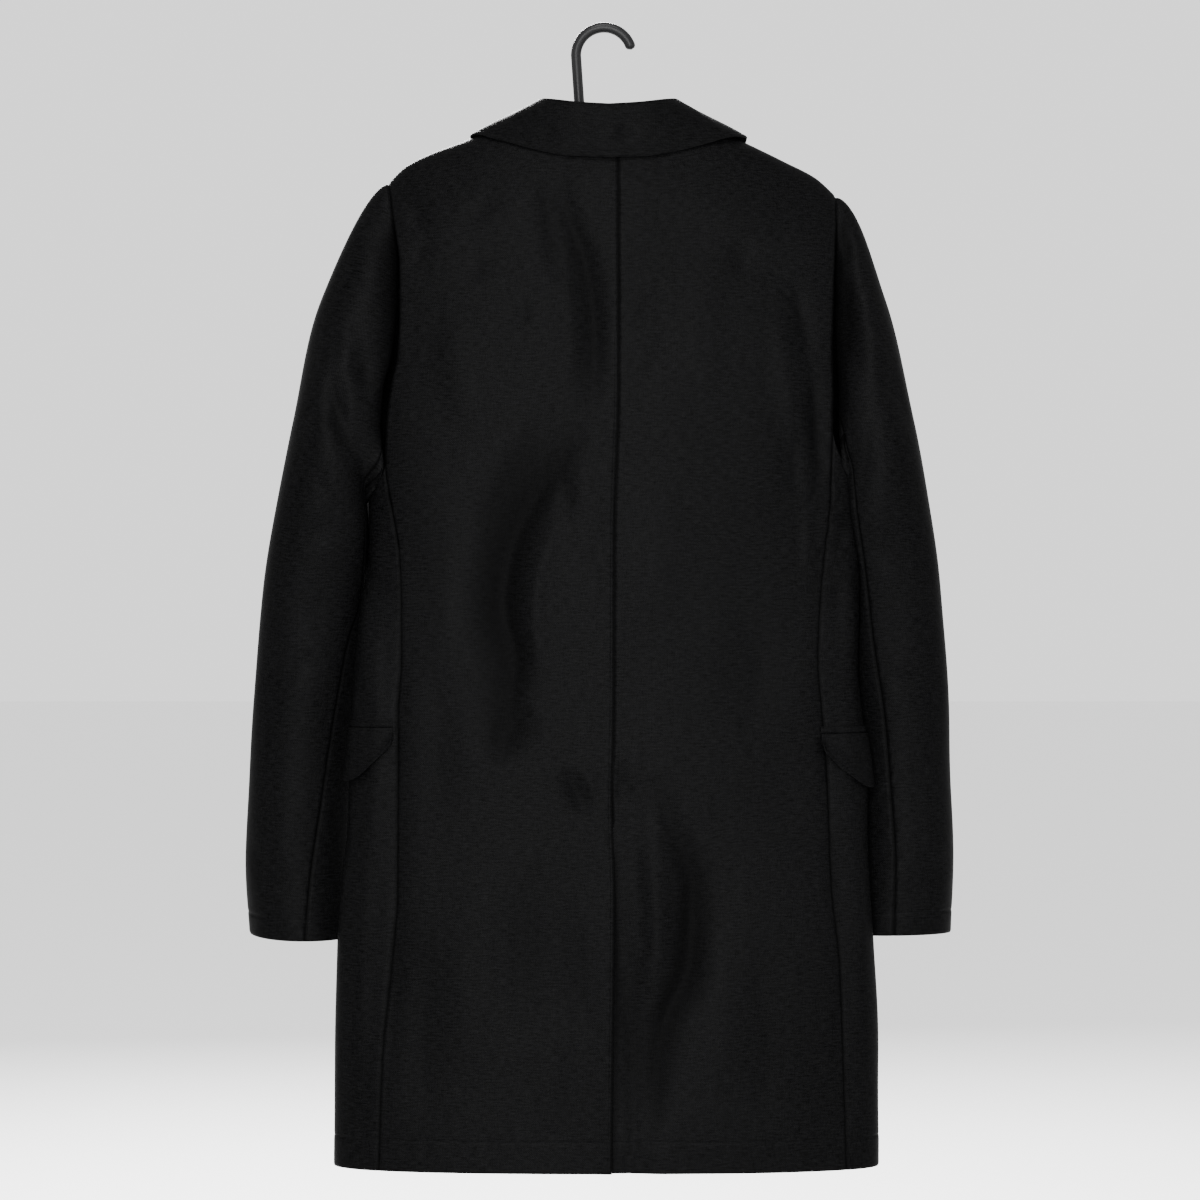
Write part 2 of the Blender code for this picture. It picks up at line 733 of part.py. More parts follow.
def collar_point(across, down):
    """Across runs from the right front end round the neck to the left; down from seam to edge."""
    station = (across - 0.5) * 2 * COLLAR_STATIONS
    side = np.sign(station)
    station = np.clip(np.abs(station), 0, COLLAR_STATIONS)

    def place(part):
        x = NECK_CENTRE + side * COLLAR.at(part + "_across", station)
        back = COLLAR.at(part + "_back", station)
        return np.stack([x, back, COLLAR.at(part + "_height", station)], axis=-1)

    seam, fold, edge = place("seam"), place("fold"), place("edge")
    edge = clear_of_shoulders(edge, COLLAR_CLEARANCE)
    fold_down = COLLAR_FOLD_SHARE
    bend = ramp(down, fold_down - COLLAR_BEND, fold_down + COLLAR_BEND)[..., None]
    stand_share = np.clip(down / fold_down, 0, 1)[..., None]
    fall_share = np.clip((down - fold_down) / (1 - fold_down), 0, 1)[..., None]
    stand = seam + (fold - seam) * stand_share
    fall = fold + (edge - fold) * fall_share
    outward = edge - seam
    outward[..., 2] = 0
    outward /= np.linalg.norm(outward, axis=-1, keepdims=True)
    belly = COLLAR_BELLY * np.sin(np.pi * fall_share) - COLLAR_LEAN * (1 - bend)
    point = np.where(down[..., None] < fold_down, stand, fall) + outward * belly
    cleared = clear_of_shoulders(point, COLLAR_CLEARANCE)
    return point + (cleared - point) * ramp(down, fold_down, fold_down + 0.2)[..., None]


def make_collar(wool):
    rows = np.array([0, 0.16, 0.28, 0.34, 0.4, 0.46, 0.54, 0.7, 0.85, 1.0])
    wall("collar", collar_point, even(34), rows, wool, free=ALL_EDGES)


def make_lapels(wool):
    for name, side in (("lapel_left", 1), ("lapel_right", -1)):
        def point(across, down, side=side):
            end = BREAK + 14
            top = GORGE_INNER + (GORGE_OUTER - GORGE_INNER) * across
            height = top + (end - top) * down
            width = 4 + (LAPEL_WIDTH - 4) * (1 - np.clip(down, 0, 1) ** 1.7)
            x = roll_x(side, height) + side * width * across
            inset = overlap_inset(x, height) if side < 0 else no_inset(x, height)
            return on_body(x, height, True, inset - LAPEL_LAYER)

        wall(name, point, even(5), even(12), wool, facing=-side, free=ALL_EDGES)


def make_pockets(wool):
    """Flaps and the jetting above them, from points of the body moved out."""
    corner = 0.24
    for label, side, top in (("left", 1, -610.0), ("right", -1, -615.0)):
        def flap(across, down, side=side, top=top):
            angle = FLAP_REAR_ANGLE + (FLAP_FRONT_ANGLE - FLAP_REAR_ANGLE) * across
            rear = np.clip(1 - across / corner, 0, 1)
            front = np.clip(1 - (1 - across) / (corner / 3), 0, 1)
            depth = FLAP_DEPTH * np.sqrt(1 - 0.96 * np.maximum(rear, front) ** 2)
            out = LAYER + FLAP_STAND_OFF * down**2 * (1 - 0.6 * ramp(across, 0.2, 0.6))
            return body(side * angle, top - depth * down, 1.0, -out)

        def welt(across, down, side=side, top=top):
            angle = FLAP_REAR_ANGLE + (FLAP_FRONT_ANGLE - FLAP_REAR_ANGLE) * across
            height = top + SEAM_GAP + WELT_DEPTH * (1 - down)
            return body(side * angle, height + 0 * across, 1.0, -LAYER)

        wall("flap_" + label, flap, even(18), even(4), wool, facing=side, free=ALL_EDGES)
        wall("welt_" + label, welt, even(18), even(1), wool, facing=side, free=ALL_EDGES)


def make_buttons(horn):
    """A turned disc with a raised rim for each front button."""
    radius, thick = BUTTON_RADIUS, BUTTON_THICK
    profile = [(0, 0), (radius - 3, 0), (radius, 1.6), (radius, thick - 0.8), (radius - 1, thick)]
    profile += [(radius - 2.4, thick - 0.2), (radius - 3.6, thick - 1.1), (0, thick - 1.1)]
    for number, height in enumerate(BUTTON_HEIGHTS, start=1):
        mesh = bmesh.new()
        points = [mesh.verts.new((r * MM, 0, z * MM)) for r, z in reversed(profile)]
        for first, second in zip(points, points[1:]):
            mesh.edges.new((first, second))
        button = add_mesh("button_%d" % number, mesh, horn)
        spin = button.modifiers.new("Turned", "SCREW")
        spin.steps = 16
        spin.render_steps = 16
        spin.use_merge_vertices = True
        spin.merge_threshold = 0.00005
        spin.use_normal_calculate = True
        seat = on_body(np.array(NECK_CENTRE), np.array(height), True)
        button.location = (NECK_CENTRE * MM, (float(seat[1]) - SEAM_GAP) * MM, height * MM)
        button.rotation_euler = (math.radians(90), 0, 0)


def hook_route():
    """Centre line of the hook from its tip over the crown and down the stem."""
    centre = -(HOOK_RADIUS - HOOK_WIRE)
    turns = np.radians(np.linspace(180 - HOOK_END_TURN, 0, 18))
    arc = [(HOOK_RADIUS * math.cos(t), centre + HOOK_RADIUS * math.sin(t)) for t in turns]
    foot = ARM_TOP_LIMIT - ARM_HALF_HEIGHT
    drop = np.linspace(0, 1, 7)[1:]
    stem = [(HOOK_RADIUS + (STEM_FOOT_X - HOOK_RADIUS) * t, centre + (foot - centre) * t) for t in drop]
    return arc + stem


def make_hook():
    curve = bpy.data.curves.new("hook", "CURVE")
    curve.dimensions = "3D"
    curve.bevel_depth = HOOK_WIRE * MM
    curve.bevel_resolution = 2
    curve.use_fill_caps = True
    route = hook_route()
    spline = curve.splines.new("POLY")
    spline.points.add(len(route) - 1)
    for index, (point, (x, z)) in enumerate(zip(spline.points, route)):
        point.co = (x * MM, 0, z * MM, 1)
        point.radius = (0.5, 0.9)[index] if index < 2 else 1 + 0.12 * max(0, index - len(route) + 4)
    made = bpy.data.objects.new("hook", curve)
    cutters.objects.link(made)
    bpy.context.view_layer.update()
    graph = bpy.context.evaluated_depsgraph_get()
    data = bpy.data.meshes.new_from_object(made.evaluated_get(graph))
    mesh = bmesh.new()
    mesh.from_mesh(data)
    bmesh.ops.remove_doubles(mesh, verts=mesh.verts, dist=0.00001)
    bmesh.ops.recalc_face_normals(mesh, faces=mesh.faces)
    mesh.to_mesh(data)
    mesh.free()
    bpy.data.objects.remove(made)
    hook = bpy.data.objects.new("hook", data)
    cutters.objects.link(hook)
    hook.hide_render = True
    hook.display_type = "WIRE"
    return hook


def make_hanger(plastic):
    """Sloping arms under the shoulders, in one piece with the hook."""
    mesh = bmesh.new()
    sides = 12
    rings = []
    spans = np.linspace(ARM_RIGHT_END, ARM_LEFT_END, 27)
    for x in spans:
        from_end = min(x - ARM_RIGHT_END, ARM_LEFT_END - x)
        size = math.sqrt(1 - (1 - min(1, (from_end + 1.5) / 9)) ** 2)
        top = min(float(shoulder(np.array(x))) - CLOTH - 1.5, ARM_TOP_LIMIT)
        centre = top - ARM_HALF_HEIGHT
        turns = [2 * math.pi * k / sides for k in range(sides)]
        rings.append(
            [
                mesh.verts.new(
                    (
                        x * MM,
                        ARM_HALF_WIDTH * size * math.sin(turn) * MM,
                        (centre + ARM_HALF_HEIGHT * size * math.cos(turn)) * MM,
                    )
                )
                for turn in turns
            ]
        )
    for first, second in zip(rings, rings[1:]):
        for k in range(sides):
            mesh.faces.new([first[k], first[(k + 1) % sides], second[(k + 1) % sides], second[k]])
    mesh.faces.new(rings[0])
    mesh.faces.new(rings[-1])
    bmesh.ops.recalc_face_normals(mesh, faces=mesh.faces)
    hanger = add_mesh("hanger", mesh, plastic)
    join = hanger.modifiers.new("Hook", "BOOLEAN")
    join.operation = "UNION"
    join.solver = "EXACT"
    join.object = make_hook()


for old in list(bpy.data.objects):
    bpy.data.objects.remove(old)
coat = bpy.data.collections.new("wool coat on hanger")
bpy.context.scene.collection.children.link(coat)
cutters = bpy.data.collections.new("cutters")
bpy.context.scene.collection.children.link(cutters)

body_wool = make_material("body wool", (0.0105, 0.0105, 0.0115), 0.72)
sleeve_wool = make_material("sleeve wool", (0.0105, 0.0105, 0.0115), 0.72)
collar_wool = make_material("collar wool", (0.0105, 0.0105, 0.0115), 0.72)
pocket_wool = make_material("pocket wool", (0.0105, 0.0105, 0.0115), 0.72)
button_horn = make_material("button horn", (0.012, 0.011, 0.01), 0.35)
hanger_plastic = make_material("hanger plastic", (0.008, 0.008, 0.008), 0.42)

make_backs(body_wool)
make_sides(body_wool)
make_fronts(body_wool)
make_sleeves(sleeve_wool)
make_collar(collar_wool)
make_lapels(collar_wool)
make_pockets(pocket_wool)
make_buttons(button_horn)
make_hanger(hanger_plastic)
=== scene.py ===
import math

import bpy
import numpy as np
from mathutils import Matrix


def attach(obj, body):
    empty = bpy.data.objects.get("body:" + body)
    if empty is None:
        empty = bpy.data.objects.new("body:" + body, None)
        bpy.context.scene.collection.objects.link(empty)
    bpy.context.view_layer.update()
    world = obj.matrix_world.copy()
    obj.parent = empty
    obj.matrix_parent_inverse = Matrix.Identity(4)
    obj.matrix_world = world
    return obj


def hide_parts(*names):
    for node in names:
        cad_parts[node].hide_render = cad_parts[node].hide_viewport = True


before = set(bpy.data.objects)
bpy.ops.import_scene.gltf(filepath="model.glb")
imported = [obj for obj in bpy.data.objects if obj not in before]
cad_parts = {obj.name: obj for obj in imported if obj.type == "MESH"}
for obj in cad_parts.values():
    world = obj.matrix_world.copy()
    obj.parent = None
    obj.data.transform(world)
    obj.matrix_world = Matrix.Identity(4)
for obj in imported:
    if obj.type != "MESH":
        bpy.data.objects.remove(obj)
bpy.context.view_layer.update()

print("frame loaded")

# Sizes in this script are millimetres from the inner crown of the hook, until a mesh is made
mm = 0.001


def hermite(start, end, leaving, arriving, t):
    # A cubic from start to end, with the slope it has at each
    return (
        start * (1 + 2 * t) * (1 - t) ** 2
        + end * t * t * (3 - 2 * t)
        + leaving * t * (1 - t) ** 2
        + arriving * t * t * (t - 1)
    )


def curveThrough(place, knots, values):
    # A curve that never overshoots its knots and is level past both ends
    gaps = np.diff(knots)
    rises = np.diff(values) / gaps
    slopes = np.zeros(len(knots))
    same = rises[:-1] * rises[1:] > 0
    slopes[1:-1][same] = 2.0 / (1.0 / rises[:-1][same] + 1.0 / rises[1:][same])
    slopes[0] = rises[0]
    slopes[-1] = rises[-1]
    place = np.clip(place, knots[0], knots[-1])
    cell = np.clip(np.searchsorted(knots, place, side="right") - 1, 0, len(gaps) - 1)
    width = gaps[cell]
    t = (place - knots[cell]) / width
    return hermite(values[cell], values[cell + 1], slopes[cell] * width, slopes[cell + 1] * width, t)


def at(form, key, place):
    # The value of one column of a form, whose first column holds the places
    knots = np.array(next(iter(form.values())), dtype=float)
    return curveThrough(place, knots, np.array(form[key], dtype=float))


def ease(value, start, end):
    part = np.clip((value - start) / (end - start), 0, 1)
    return part * part * (3 - 2 * part)


def hump(distance, reach):
    # 1 on a line, fading softly to 0 on either side of it
    return np.exp(-((distance / reach) ** 2))


def spread(length, step, fine=()):
    # Shares from 0 to 1 of a length, closer together near each (place, reach, step) of fine
    growth = 0.22
    places = [0.0]
    while places[-1] < length:
        stride = step
        for spot, reach, small in fine:
            away = max(0.0, abs(places[-1] - spot) - reach)
            stride = min(stride, small + away * growth)
        places.append(places[-1] + stride)
    return np.array(places) / places[-1]


def normalsOf(points):
    normal = np.cross(np.gradient(points, axis=0), np.gradient(points, axis=1))
    return normal / (np.linalg.norm(normal, axis=-1, keepdims=True) + 1e-12)


def runOf(points, axis):
    # Distance walked along the cloth from its first column or row
    steps = np.linalg.norm(np.diff(points, axis=axis), axis=-1)
    first = np.zeros_like(np.take(steps, [0], axis=axis))
    return np.concatenate([first, np.cumsum(steps, axis=axis)], axis=axis)


sides = ((1, "left"), (-1, "right"))

# The coat's form, the same as the solids
coat = {
    "cloth": 1.8,
    "foldDepth": 1.35,
    "tuck": 0.12,
    "gap": 0.3,
    "layer": 2.6,
    "lapelLayer": 3.0,
    "hem": -994.0,
    "hemTurnUp": 27.0,
    "chest": -402.0,
    "shoulderTip": {1: -132.0, -1: -144.0},
    "lapelBreak": -415.0,
    "roundness": 2.5,
    "shoulderFall": 85.0,
    "neckCentre": -4.0,
    "neckHalfWidth": 70.0,
    "backNeck": -97.0,
    "sideFrontAngle": 126.0,
    "frontArmholeEnd": -380.0,
    "armholeCorner": {1: -379.0, -1: -346.0},
    "armholeGap": 0.1,
}
# Half widths to each side of the hook, and depths behind and in front of it
bodyForm = {
    "height": [-1000, -900, -800, -750, -700, -640, -600, -550, -500, -450, -400, -300, -180, -60],
    "left": [237.5, 236.5, 234, 231, 226, 224, 222, 218, 213, 206, 207, 211, 213, 214],
    "right": [241, 241, 237, 234, 232, 232, 227, 223, 224, 226, 226, 228, 229, 230],
    "back": [56, 54, 52, 51, 50, 49, 48, 47, 47, 48, 50, 50, 46, 40],
    "front": [58, 56, 55, 54, 53, 52, 52, 52, 52, 53, 54, 52, 46, 36],
}
shoulderForm = {
    1: {
        "across": [0, 60, 121, 153, 174, 189, 230],
        "height": [-50, -69, -95, -107, -118, -132, -165],
    },
    -1: {
        "across": [0, 60, 128, 157, 185, 204, 240],
        "height": [-50, -68, -99, -113, -127, -144, -175],
    },
}
# Outer edge of each back: the armhole seam, then the side-back seam
backEdge = {
    "height": [
        -994, -900, -815, -750, -650, -600, -550, -500, -455,
        -420, -380, -350, -315, -285, -245, -210, -165, -132,
    ],
    "left": [196, 193, 185, 180, 180, 180, 177, 177, 179, 185, 191, 190, 186, 180, 178, 178, 184, 189],
    "right": [211, 209, 206, 199, 195, 191, 187, 189, 193, 197, 199, 200, 200, 199, 200, 201, 203, 204],
}
frontArmhole = {
    "height": [-385, -345, -300, -250, -210, -165, -132],
    "left": [175, 172, 167, 165, 168, 178, 189],
    "right": [191, 187, 181, 179, 182, 192, 204],
}
# The centre back seam, and how far the right back reaches past it behind the vent
centreBack = {
    "height": [-994, -750, -675, -590, -440, -315, -90],
    "across": [-6.5, -9, -7, -8.5, -9, -12.5, -12.5],
}
ventEdge = {"height": [-994, -722, -692, -400], "past": [41, 41, 0, 0]}
# Roll line of the lapels, then the front edges, from the centre front
rollLine = {
    "height": [-994, -500, -415, -250, -150, -100, -85, -70],
    "across": [-22, -22, -22, 22, 49, 63, 67, 70],
}

# Creases and swells of the back, as (points across and up, width on one side and on the other, depth).
# A swell has a negative depth.
backFolds = [
    # From the left of the neck down beside the centre seam
    ([(40, -112), (37, -140), (26, -180), (14, -215), (9, -255), (8, -300), (14, -345)], 13, 9, 4.4),
    ([(50, -126), (49, -160), (44, -195), (38, -228)], 8, 6, 1.9),
    ([(32, -222), (28, -262), (30, -310)], 9, 9, -1.4),
    # The long hollow under the left shoulder blade
    (
        [(18, -330), (34, -372), (60, -412), (82, -460), (88, -506), (78, -550), (84, -595), (98, -640)],
        28, 15, 7.0,
    ),
    ([(52, -330), (66, -366), (86, -400), (104, -440)], 12, 10, 1.6),
    ([(40, -430), (58, -478), (62, -520), (56, -560)], 9, 9, -1.8),
    ([(36, -388), (32, -412), (34, -436)], 5, 6, 1.8),
    ([(66, -590), (80, -616), (96, -640)], 12, 16, 2.4),
    ([(120, -420), (130, -500), (124, -570)], 24, 20, -1.8),
    # Short drags by the left shoulder
    ([(92, -146), (106, -160), (123, -177)], 7, 6, 1.3),
    ([(155, -158), (161, -164), (170, -172)], 8, 7, 2.0),
    ([(148, -182), (160, -196), (168, -214)], 7, 9, 1.2),
    ([(111, -200), (110, -224)], 6, 7, 1.1),
    ([(70, -234), (71, -266)], 6, 6, 1.2),
    ([(130, -250), (127, -300), (120, -345)], 16, 14, -1.3),
    # The right shoulder blade, and the crease beside its armhole
    ([(-119, -184), (-120, -220)], 8, 8, 1.5),
    ([(-52, -224), (-40, -244), (-26, -266)], 6, 7, 1.2),
    ([(-60, -262), (-44, -292), (-30, -318)], 7, 8, 0.9),
    ([(-90, -200), (-84, -262), (-92, -320)], 24, 22, -1.8),
    ([(-162, -218), (-170, -250), (-176, -276), (-181, -296)], 6, 9, 3.0),
    ([(-180, -288), (-183, -324), (-186, -374), (-187, -408)], 5, 8, 3.4),
    ([(-150, -250), (-158, -300), (-166, -350)], 10, 10, -1.5),
    ([(-166, -358), (-165, -384), (-164, -410)], 6, 5, 1.6),
    ([(-174, -402), (-178, -440), (-176, -490)], 6, 7, -1.0),
    # Waist and hips
    ([(-40, -380), (-46, -450), (-40, -520)], 20, 26, -1.6),
    ([(-120, -500), (-132, -560), (-126, -620)], 26, 20, 1.4),
    ([(150, -560), (140, -620), (146, -690)], 18, 22, 1.5),
    ([(34, -646), (26, -662), (13, -686)], 6, 9, 3.0),
    ([(20, -636), (14, -654), (8, -668)], 6, 6, -1.2),
    ([(-15, -636), (-15, -656), (-14, -680)], 5, 7, 1.6),
    # Below the vent's top, on the right
    (
        [(-44, -650), (-56, -690), (-76, -748), (-73, -812), (-50, -868), (-44, -930), (-38, -975)],
        11, 17, 6.4,
    ),
    ([(-13, -770), (-19, -833), (-24, -900), (-24, -965)], 9, 9, 2.6),
    ([(-30, -690), (-42, -740), (-46, -790), (-36, -840)], 10, 10, -2.0),
    ([(-96, -780), (-104, -850), (-98, -930)], 22, 26, -1.6),
    ([(-130, -800), (-142, -880), (-138, -960)], 14, 18, 1.4),
    # And on the left
    ([(32, -756), (23, -815), (17, -880)], 12, 10, 1.6),
    ([(56, -720), (70, -800), (66, -890)], 20, 24, 2.4),
    ([(110, -730), (120, -820), (114, -920)], 22, 22, -1.6),
    ([(150, -800), (158, -880), (152, -960)], 14, 16, 1.5),
    ([(44, -850), (48, -910), (44, -960)], 14, 14, -1.2),
    # Side panels
    ([(200, -425), (199, -560), (203, -680), (212, -820), (217, -990)], 9, 9, -2.2),
    ([(181, -465), (177, -560), (180, -650), (181, -780), (192, -980)], 5, 6, 1.6),
    ([(-213, -420), (-212, -540), (-215, -640), (-223, -800), (-228, -985)], 9, 9, -2.2),
    ([(-195, -435), (-188, -540), (-193, -640), (-204, -780), (-212, -980)], 6, 5, 1.6),
    ([(207, -462), (202, -480), (193, -500)], 6, 8, 2.2),
    ([(209, -500), (206, -540), (203, -590)], 8, 8, -1.6),
    ([(-214, -420), (-211, -436)], 6, 6, 1.6),
    ([(-205, -440), (-207, -456)], 6, 6, 1.6),
    ([(-204, -486), (-206, -508)], 6, 7, 1.8),
    ([(-211, -470), (-214, -520), (-212, -560)], 7, 7, -1.6),
]
# The hidden front gets similar ones
frontFolds = [
    ([(120, -240), (127, -300), (126, -352), (112, -424)], 12, 18, 3.8),
    ([(92, -300), (98, -350), (90, -404)], 12, 12, -1.6),
    ([(-120, -226), (-131, -280), (-130, -330), (-118, -408)], 18, 13, 3.8),
    ([(-88, -300), (-94, -352), (-86, -400)], 12, 12, -1.4),
    ([(34, -436), (58, -462), (90, -476)], 7, 10, 1.8),
    ([(-34, -440), (-56, -470), (-82, -486)], 8, 7, 1.5),
    ([(22, -556), (44, -574), (76, -580)], 7, 8, 1.4),
    ([(-26, -560), (-46, -582), (-70, -590)], 7, 8, 1.2),
    ([(70, -700), (84, -780), (86, -840), (80, -910)], 14, 20, 4.0),
    ([(-84, -690), (-74, -760), (-72, -830), (-90, -925)], 20, 14, 4.0),
    ([(110, -720), (124, -810), (118, -900)], 18, 18, -1.8),
    ([(-116, -730), (-128, -820), (-124, -910)], 20, 16, -1.6),
    ([(30, -720), (38, -800), (34, -880)], 16, 16, -1.2),
    ([(160, -690), (166, -760), (160, -850)], 10, 14, 1.8),
    ([(-168, -700), (-172, -770), (-164, -860)], 12, 10, 1.6),
    ([(150, -180), (140, -214), (136, -240)], 8, 8, 1.6),
    ([(-160, -186), (-152, -216), (-146, -250)], 8, 8, 1.4),
    ([(205, -470), (198, -498), (190, -520)], 7, 8, 1.8),
    ([(-208, -476), (-201, -500), (-194, -530)], 7, 8, 1.6),
]


# A fold's outline: it narrows and fades to its ends, and a trough is soft at its bottom
foldShape = {"stops": 22, "reach": 2.6, "endWidth": 0.7, "fade": 0.8, "softness": 3.2, "power": 1.2}


def foldField(x, height, folds):
    # How far the folds sink the cloth at each place
    sunk = np.zeros(x.shape)
    for line, widthA, widthB, depth in folds:
        line = np.array(line, dtype=float)
        run = np.concatenate([[0], np.cumsum(np.linalg.norm(np.diff(line, axis=0), axis=1))])
        stops = np.linspace(0, run[-1], foldShape["stops"])
        path = np.stack([curveThrough(stops, run, line[:, k]) for k in (0, 1)], axis=-1)
        reach = foldShape["reach"] * max(widthA, widthB)
        low, high = path.min(axis=0) - reach, path.max(axis=0) + reach
        near = (x > low[0]) & (x < high[0]) & (height > low[1]) & (height < high[1])
        if not near.any():
            continue
        px, pz = x[near], height[near]
        best = np.full(px.shape, np.inf)
        side = np.zeros(px.shape)
        gone = np.zeros(px.shape)
        for k in range(len(path) - 1):
            way = path[k + 1] - path[k]
            length = way @ way
            t = np.clip(((px - path[k, 0]) * way[0] + (pz - path[k, 1]) * way[1]) / length, 0, 1)
            apartX = px - path[k, 0] - t * way[0]
            apartZ = pz - path[k, 1] - t * way[1]
            apart = np.hypot(apartX, apartZ)
            closer = apart < best
            best = np.where(closer, apart, best)
            side = np.where(closer, way[0] * apartZ - way[1] * apartX, side)
            gone = np.where(closer, (k + t) / (len(path) - 1), gone)
        middle = np.sin(np.pi * np.clip(gone, 0, 1))
        endWidth, softness = foldShape["endWidth"], foldShape["softness"]
        width = np.where(side > 0, widthA, widthB) * (endWidth + (1 - endWidth) * middle)
        fade = middle ** foldShape["fade"]
        if depth > 0:
            shape = np.exp(-(((np.hypot(best, softness) - softness) / width) ** foldShape["power"]))
        else:
            shape = hump(best, width)
        sunk[near] += depth * shape * fade
    return sunk


def drift(x, height, phase=0.0):
    # Slow unevenness that hung cloth always has
    a = np.sin(x / 31 + 1.3 * np.sin(height / 83 + phase) + phase)
    b = np.sin(height / 47 + 0.9 * np.sin(x / 39 - phase) + 2 * phase)
    c = np.sin(x / 13.5 + height / 61 + 1.7 * phase) * np.sin(height / 29 - x / 70)
    return 0.34 * a * b + 0.16 * c


def shoulder(x):
    left = at(shoulderForm[1], "height", x)
    return np.where(x >= 0, left, at(shoulderForm[-1], "height", -x))


def section(angle):
    # Across and back on a rounded section of half width and half depth 1; angle 0 is the back
    n = coat["roundness"]
    across = np.sin(np.radians(angle))
    back = np.cos(np.radians(angle))
    reach = (np.abs(across) ** n + np.abs(back) ** n) ** (-1 / n)
    return across * reach, back * reach


def sideKey(side):
    return "left" if side > 0 else "right"


def halfWidth(across, height):
    return np.where(across >= 0, at(bodyForm, "left", height), at(bodyForm, "right", height))


def halfDepth(back, height):
    return np.where(back >= 0, at(bodyForm, "back", height), at(bodyForm, "front", height))


def angleAt(x, height, front):
    # The section's angle where the back or front is x across
    n = coat["roundness"]
    share = np.clip(x / halfWidth(x, height), -1, 1)
    rest = (1 - np.abs(share) ** n) ** (1 / n)
    if front:
        return np.degrees(np.arctan2(share, -rest)) % 360
    return np.degrees(np.arctan2(share, rest))


def riseAt(x, height):
    # How much of the body's depth is left as it rounds over to the shoulder's ridge
    share = np.clip((shoulder(x) - height) / coat["shoulderFall"], 0, 1)
    return np.sqrt(1 - (1 - share) ** 2)


def bodyPoint(angle, height, rise, inset=0.0):
    n = coat["roundness"]
    across, back = section(angle)
    half = halfWidth(across, height)
    depth = halfDepth(back, height)
    out = np.sign(across) * np.abs(across) ** (n - 1) / half
    rear = np.sign(back) * np.abs(back) ** (n - 1) / depth
    length = np.hypot(out, rear)
    x = across * half - inset * out / length
    y = back * depth * rise - inset * rear / length * rise
    return np.stack([x, y, height + 0 * x], axis=-1)


def onBody(x, height, front, inset=0.0):
    return bodyPoint(angleAt(x, height, front), height, riseAt(x, height), inset)


def backEdgeAngle(side, height):
    return angleAt(side * at(backEdge, sideKey(side), height), height, False)


def frontEdgeAngle(side, height):
    armhole = angleAt(side * at(frontArmhole, sideKey(side), height), height, True)
    return np.where(height > coat["frontArmholeEnd"], armhole, side * coat["sideFrontAngle"] % 360)


def underarmHeight(side, angle):
    # The armhole's lower curve, over the side panel
    turn = np.abs(angle)
    corner = coat["armholeCorner"][side]
    rear = np.abs(backEdgeAngle(side, corner))
    front = coat["sideFrontAngle"]
    share = np.where(turn < 90, (90 - turn) / (90 - rear), (turn - 90) / (front - 90))
    start = np.where(turn < 90, corner, coat["frontArmholeEnd"])
    return start + (coat["chest"] - start) * np.sqrt(np.clip(1 - share**2, 0, 1))


def armhole(side, turn):
    # Turn 0 is the shoulder, 90 the back, 180 the underarm
    turn = turn % 360
    atBack = turn <= 180
    tip, chest = coat["shoulderTip"][side], coat["chest"]
    height = tip + (chest - tip) * (1 - np.cos(np.radians(turn))) / 2
    corner = np.where(atBack, coat["armholeCorner"][side], coat["frontArmholeEnd"])
    rear = np.abs(backEdgeAngle(side, coat["armholeCorner"][side]))
    low = np.sqrt(np.clip(1 - ((height - corner) / (chest - corner)) ** 2, 0, 1))
    front = coat["sideFrontAngle"]
    bottom = np.where(atBack, 90 - (90 - rear) * low, 90 + (front - 90) * low)
    frontTurn = frontEdgeAngle(side, height)
    frontTurn = np.where(frontTurn > 180, 360 - frontTurn, frontTurn)
    upper = np.where(atBack, np.abs(backEdgeAngle(side, height)), frontTurn)
    angle = np.where(height > corner, upper, bottom)
    across = section(angle)[0]
    x = side * across * halfWidth(side + 0 * across, height)
    return bodyPoint(side * angle, height, riseAt(x, height))


# Materials
def nodeGroup(name, inputs, outputs):
    tree = bpy.data.node_groups.new(name, "ShaderNodeTree")
    for label, kind, value in inputs:
        made = tree.interface.new_socket(name=label, in_out="INPUT", socket_type=kind)
        if value is not None:
            made.default_value = value
    for label, kind in outputs:
        tree.interface.new_socket(name=label, in_out="OUTPUT", socket_type=kind)
    return tree, tree.nodes.new("NodeGroupInput"), tree.nodes.new("NodeGroupOutput")


def mathNode(tree, kind, first, second=None, clamp=False):
    node = tree.nodes.new("ShaderNodeMath")
    node.operation = kind
    node.use_clamp = clamp
    for index, value in enumerate((first, second)):
        if value is None:
            continue
        if isinstance(value, (int, float)):
            node.inputs[index].default_value = value
        else:
            tree.links.new(value, node.inputs[index])
    return node.outputs[0]


def noiseNode(tree, vector, scale, detail=3.0, roughness=0.55):
    node = tree.nodes.new("ShaderNodeTexNoise")
    node.inputs["Scale"].default_value = scale
    node.inputs["Detail"].default_value = detail
    node.inputs["Roughness"].default_value = roughness
    tree.links.new(vector, node.inputs["Vector"])
    return node.outputs["Fac"]


def stretched(tree, vector, scale):
    node = tree.nodes.new("ShaderNodeMapping")
    node.inputs["Scale"].default_value = scale
    tree.links.new(vector, node.inputs["Vector"])
    return node.outputs["Vector"]


def mixed(tree, first, firstShare, second, secondShare):
    # A sum of two masks by their shares
    shares = [mathNode(tree, "MULTIPLY", *pair) for pair in ((first, firstShare), (second, secondShare))]
    return mathNode(tree, "ADD", *shares)


def aroundZero(tree, mask, strength):
    return mathNode(tree, "MULTIPLY", mathNode(tree, "SUBTRACT", mask, 0.5), strength)


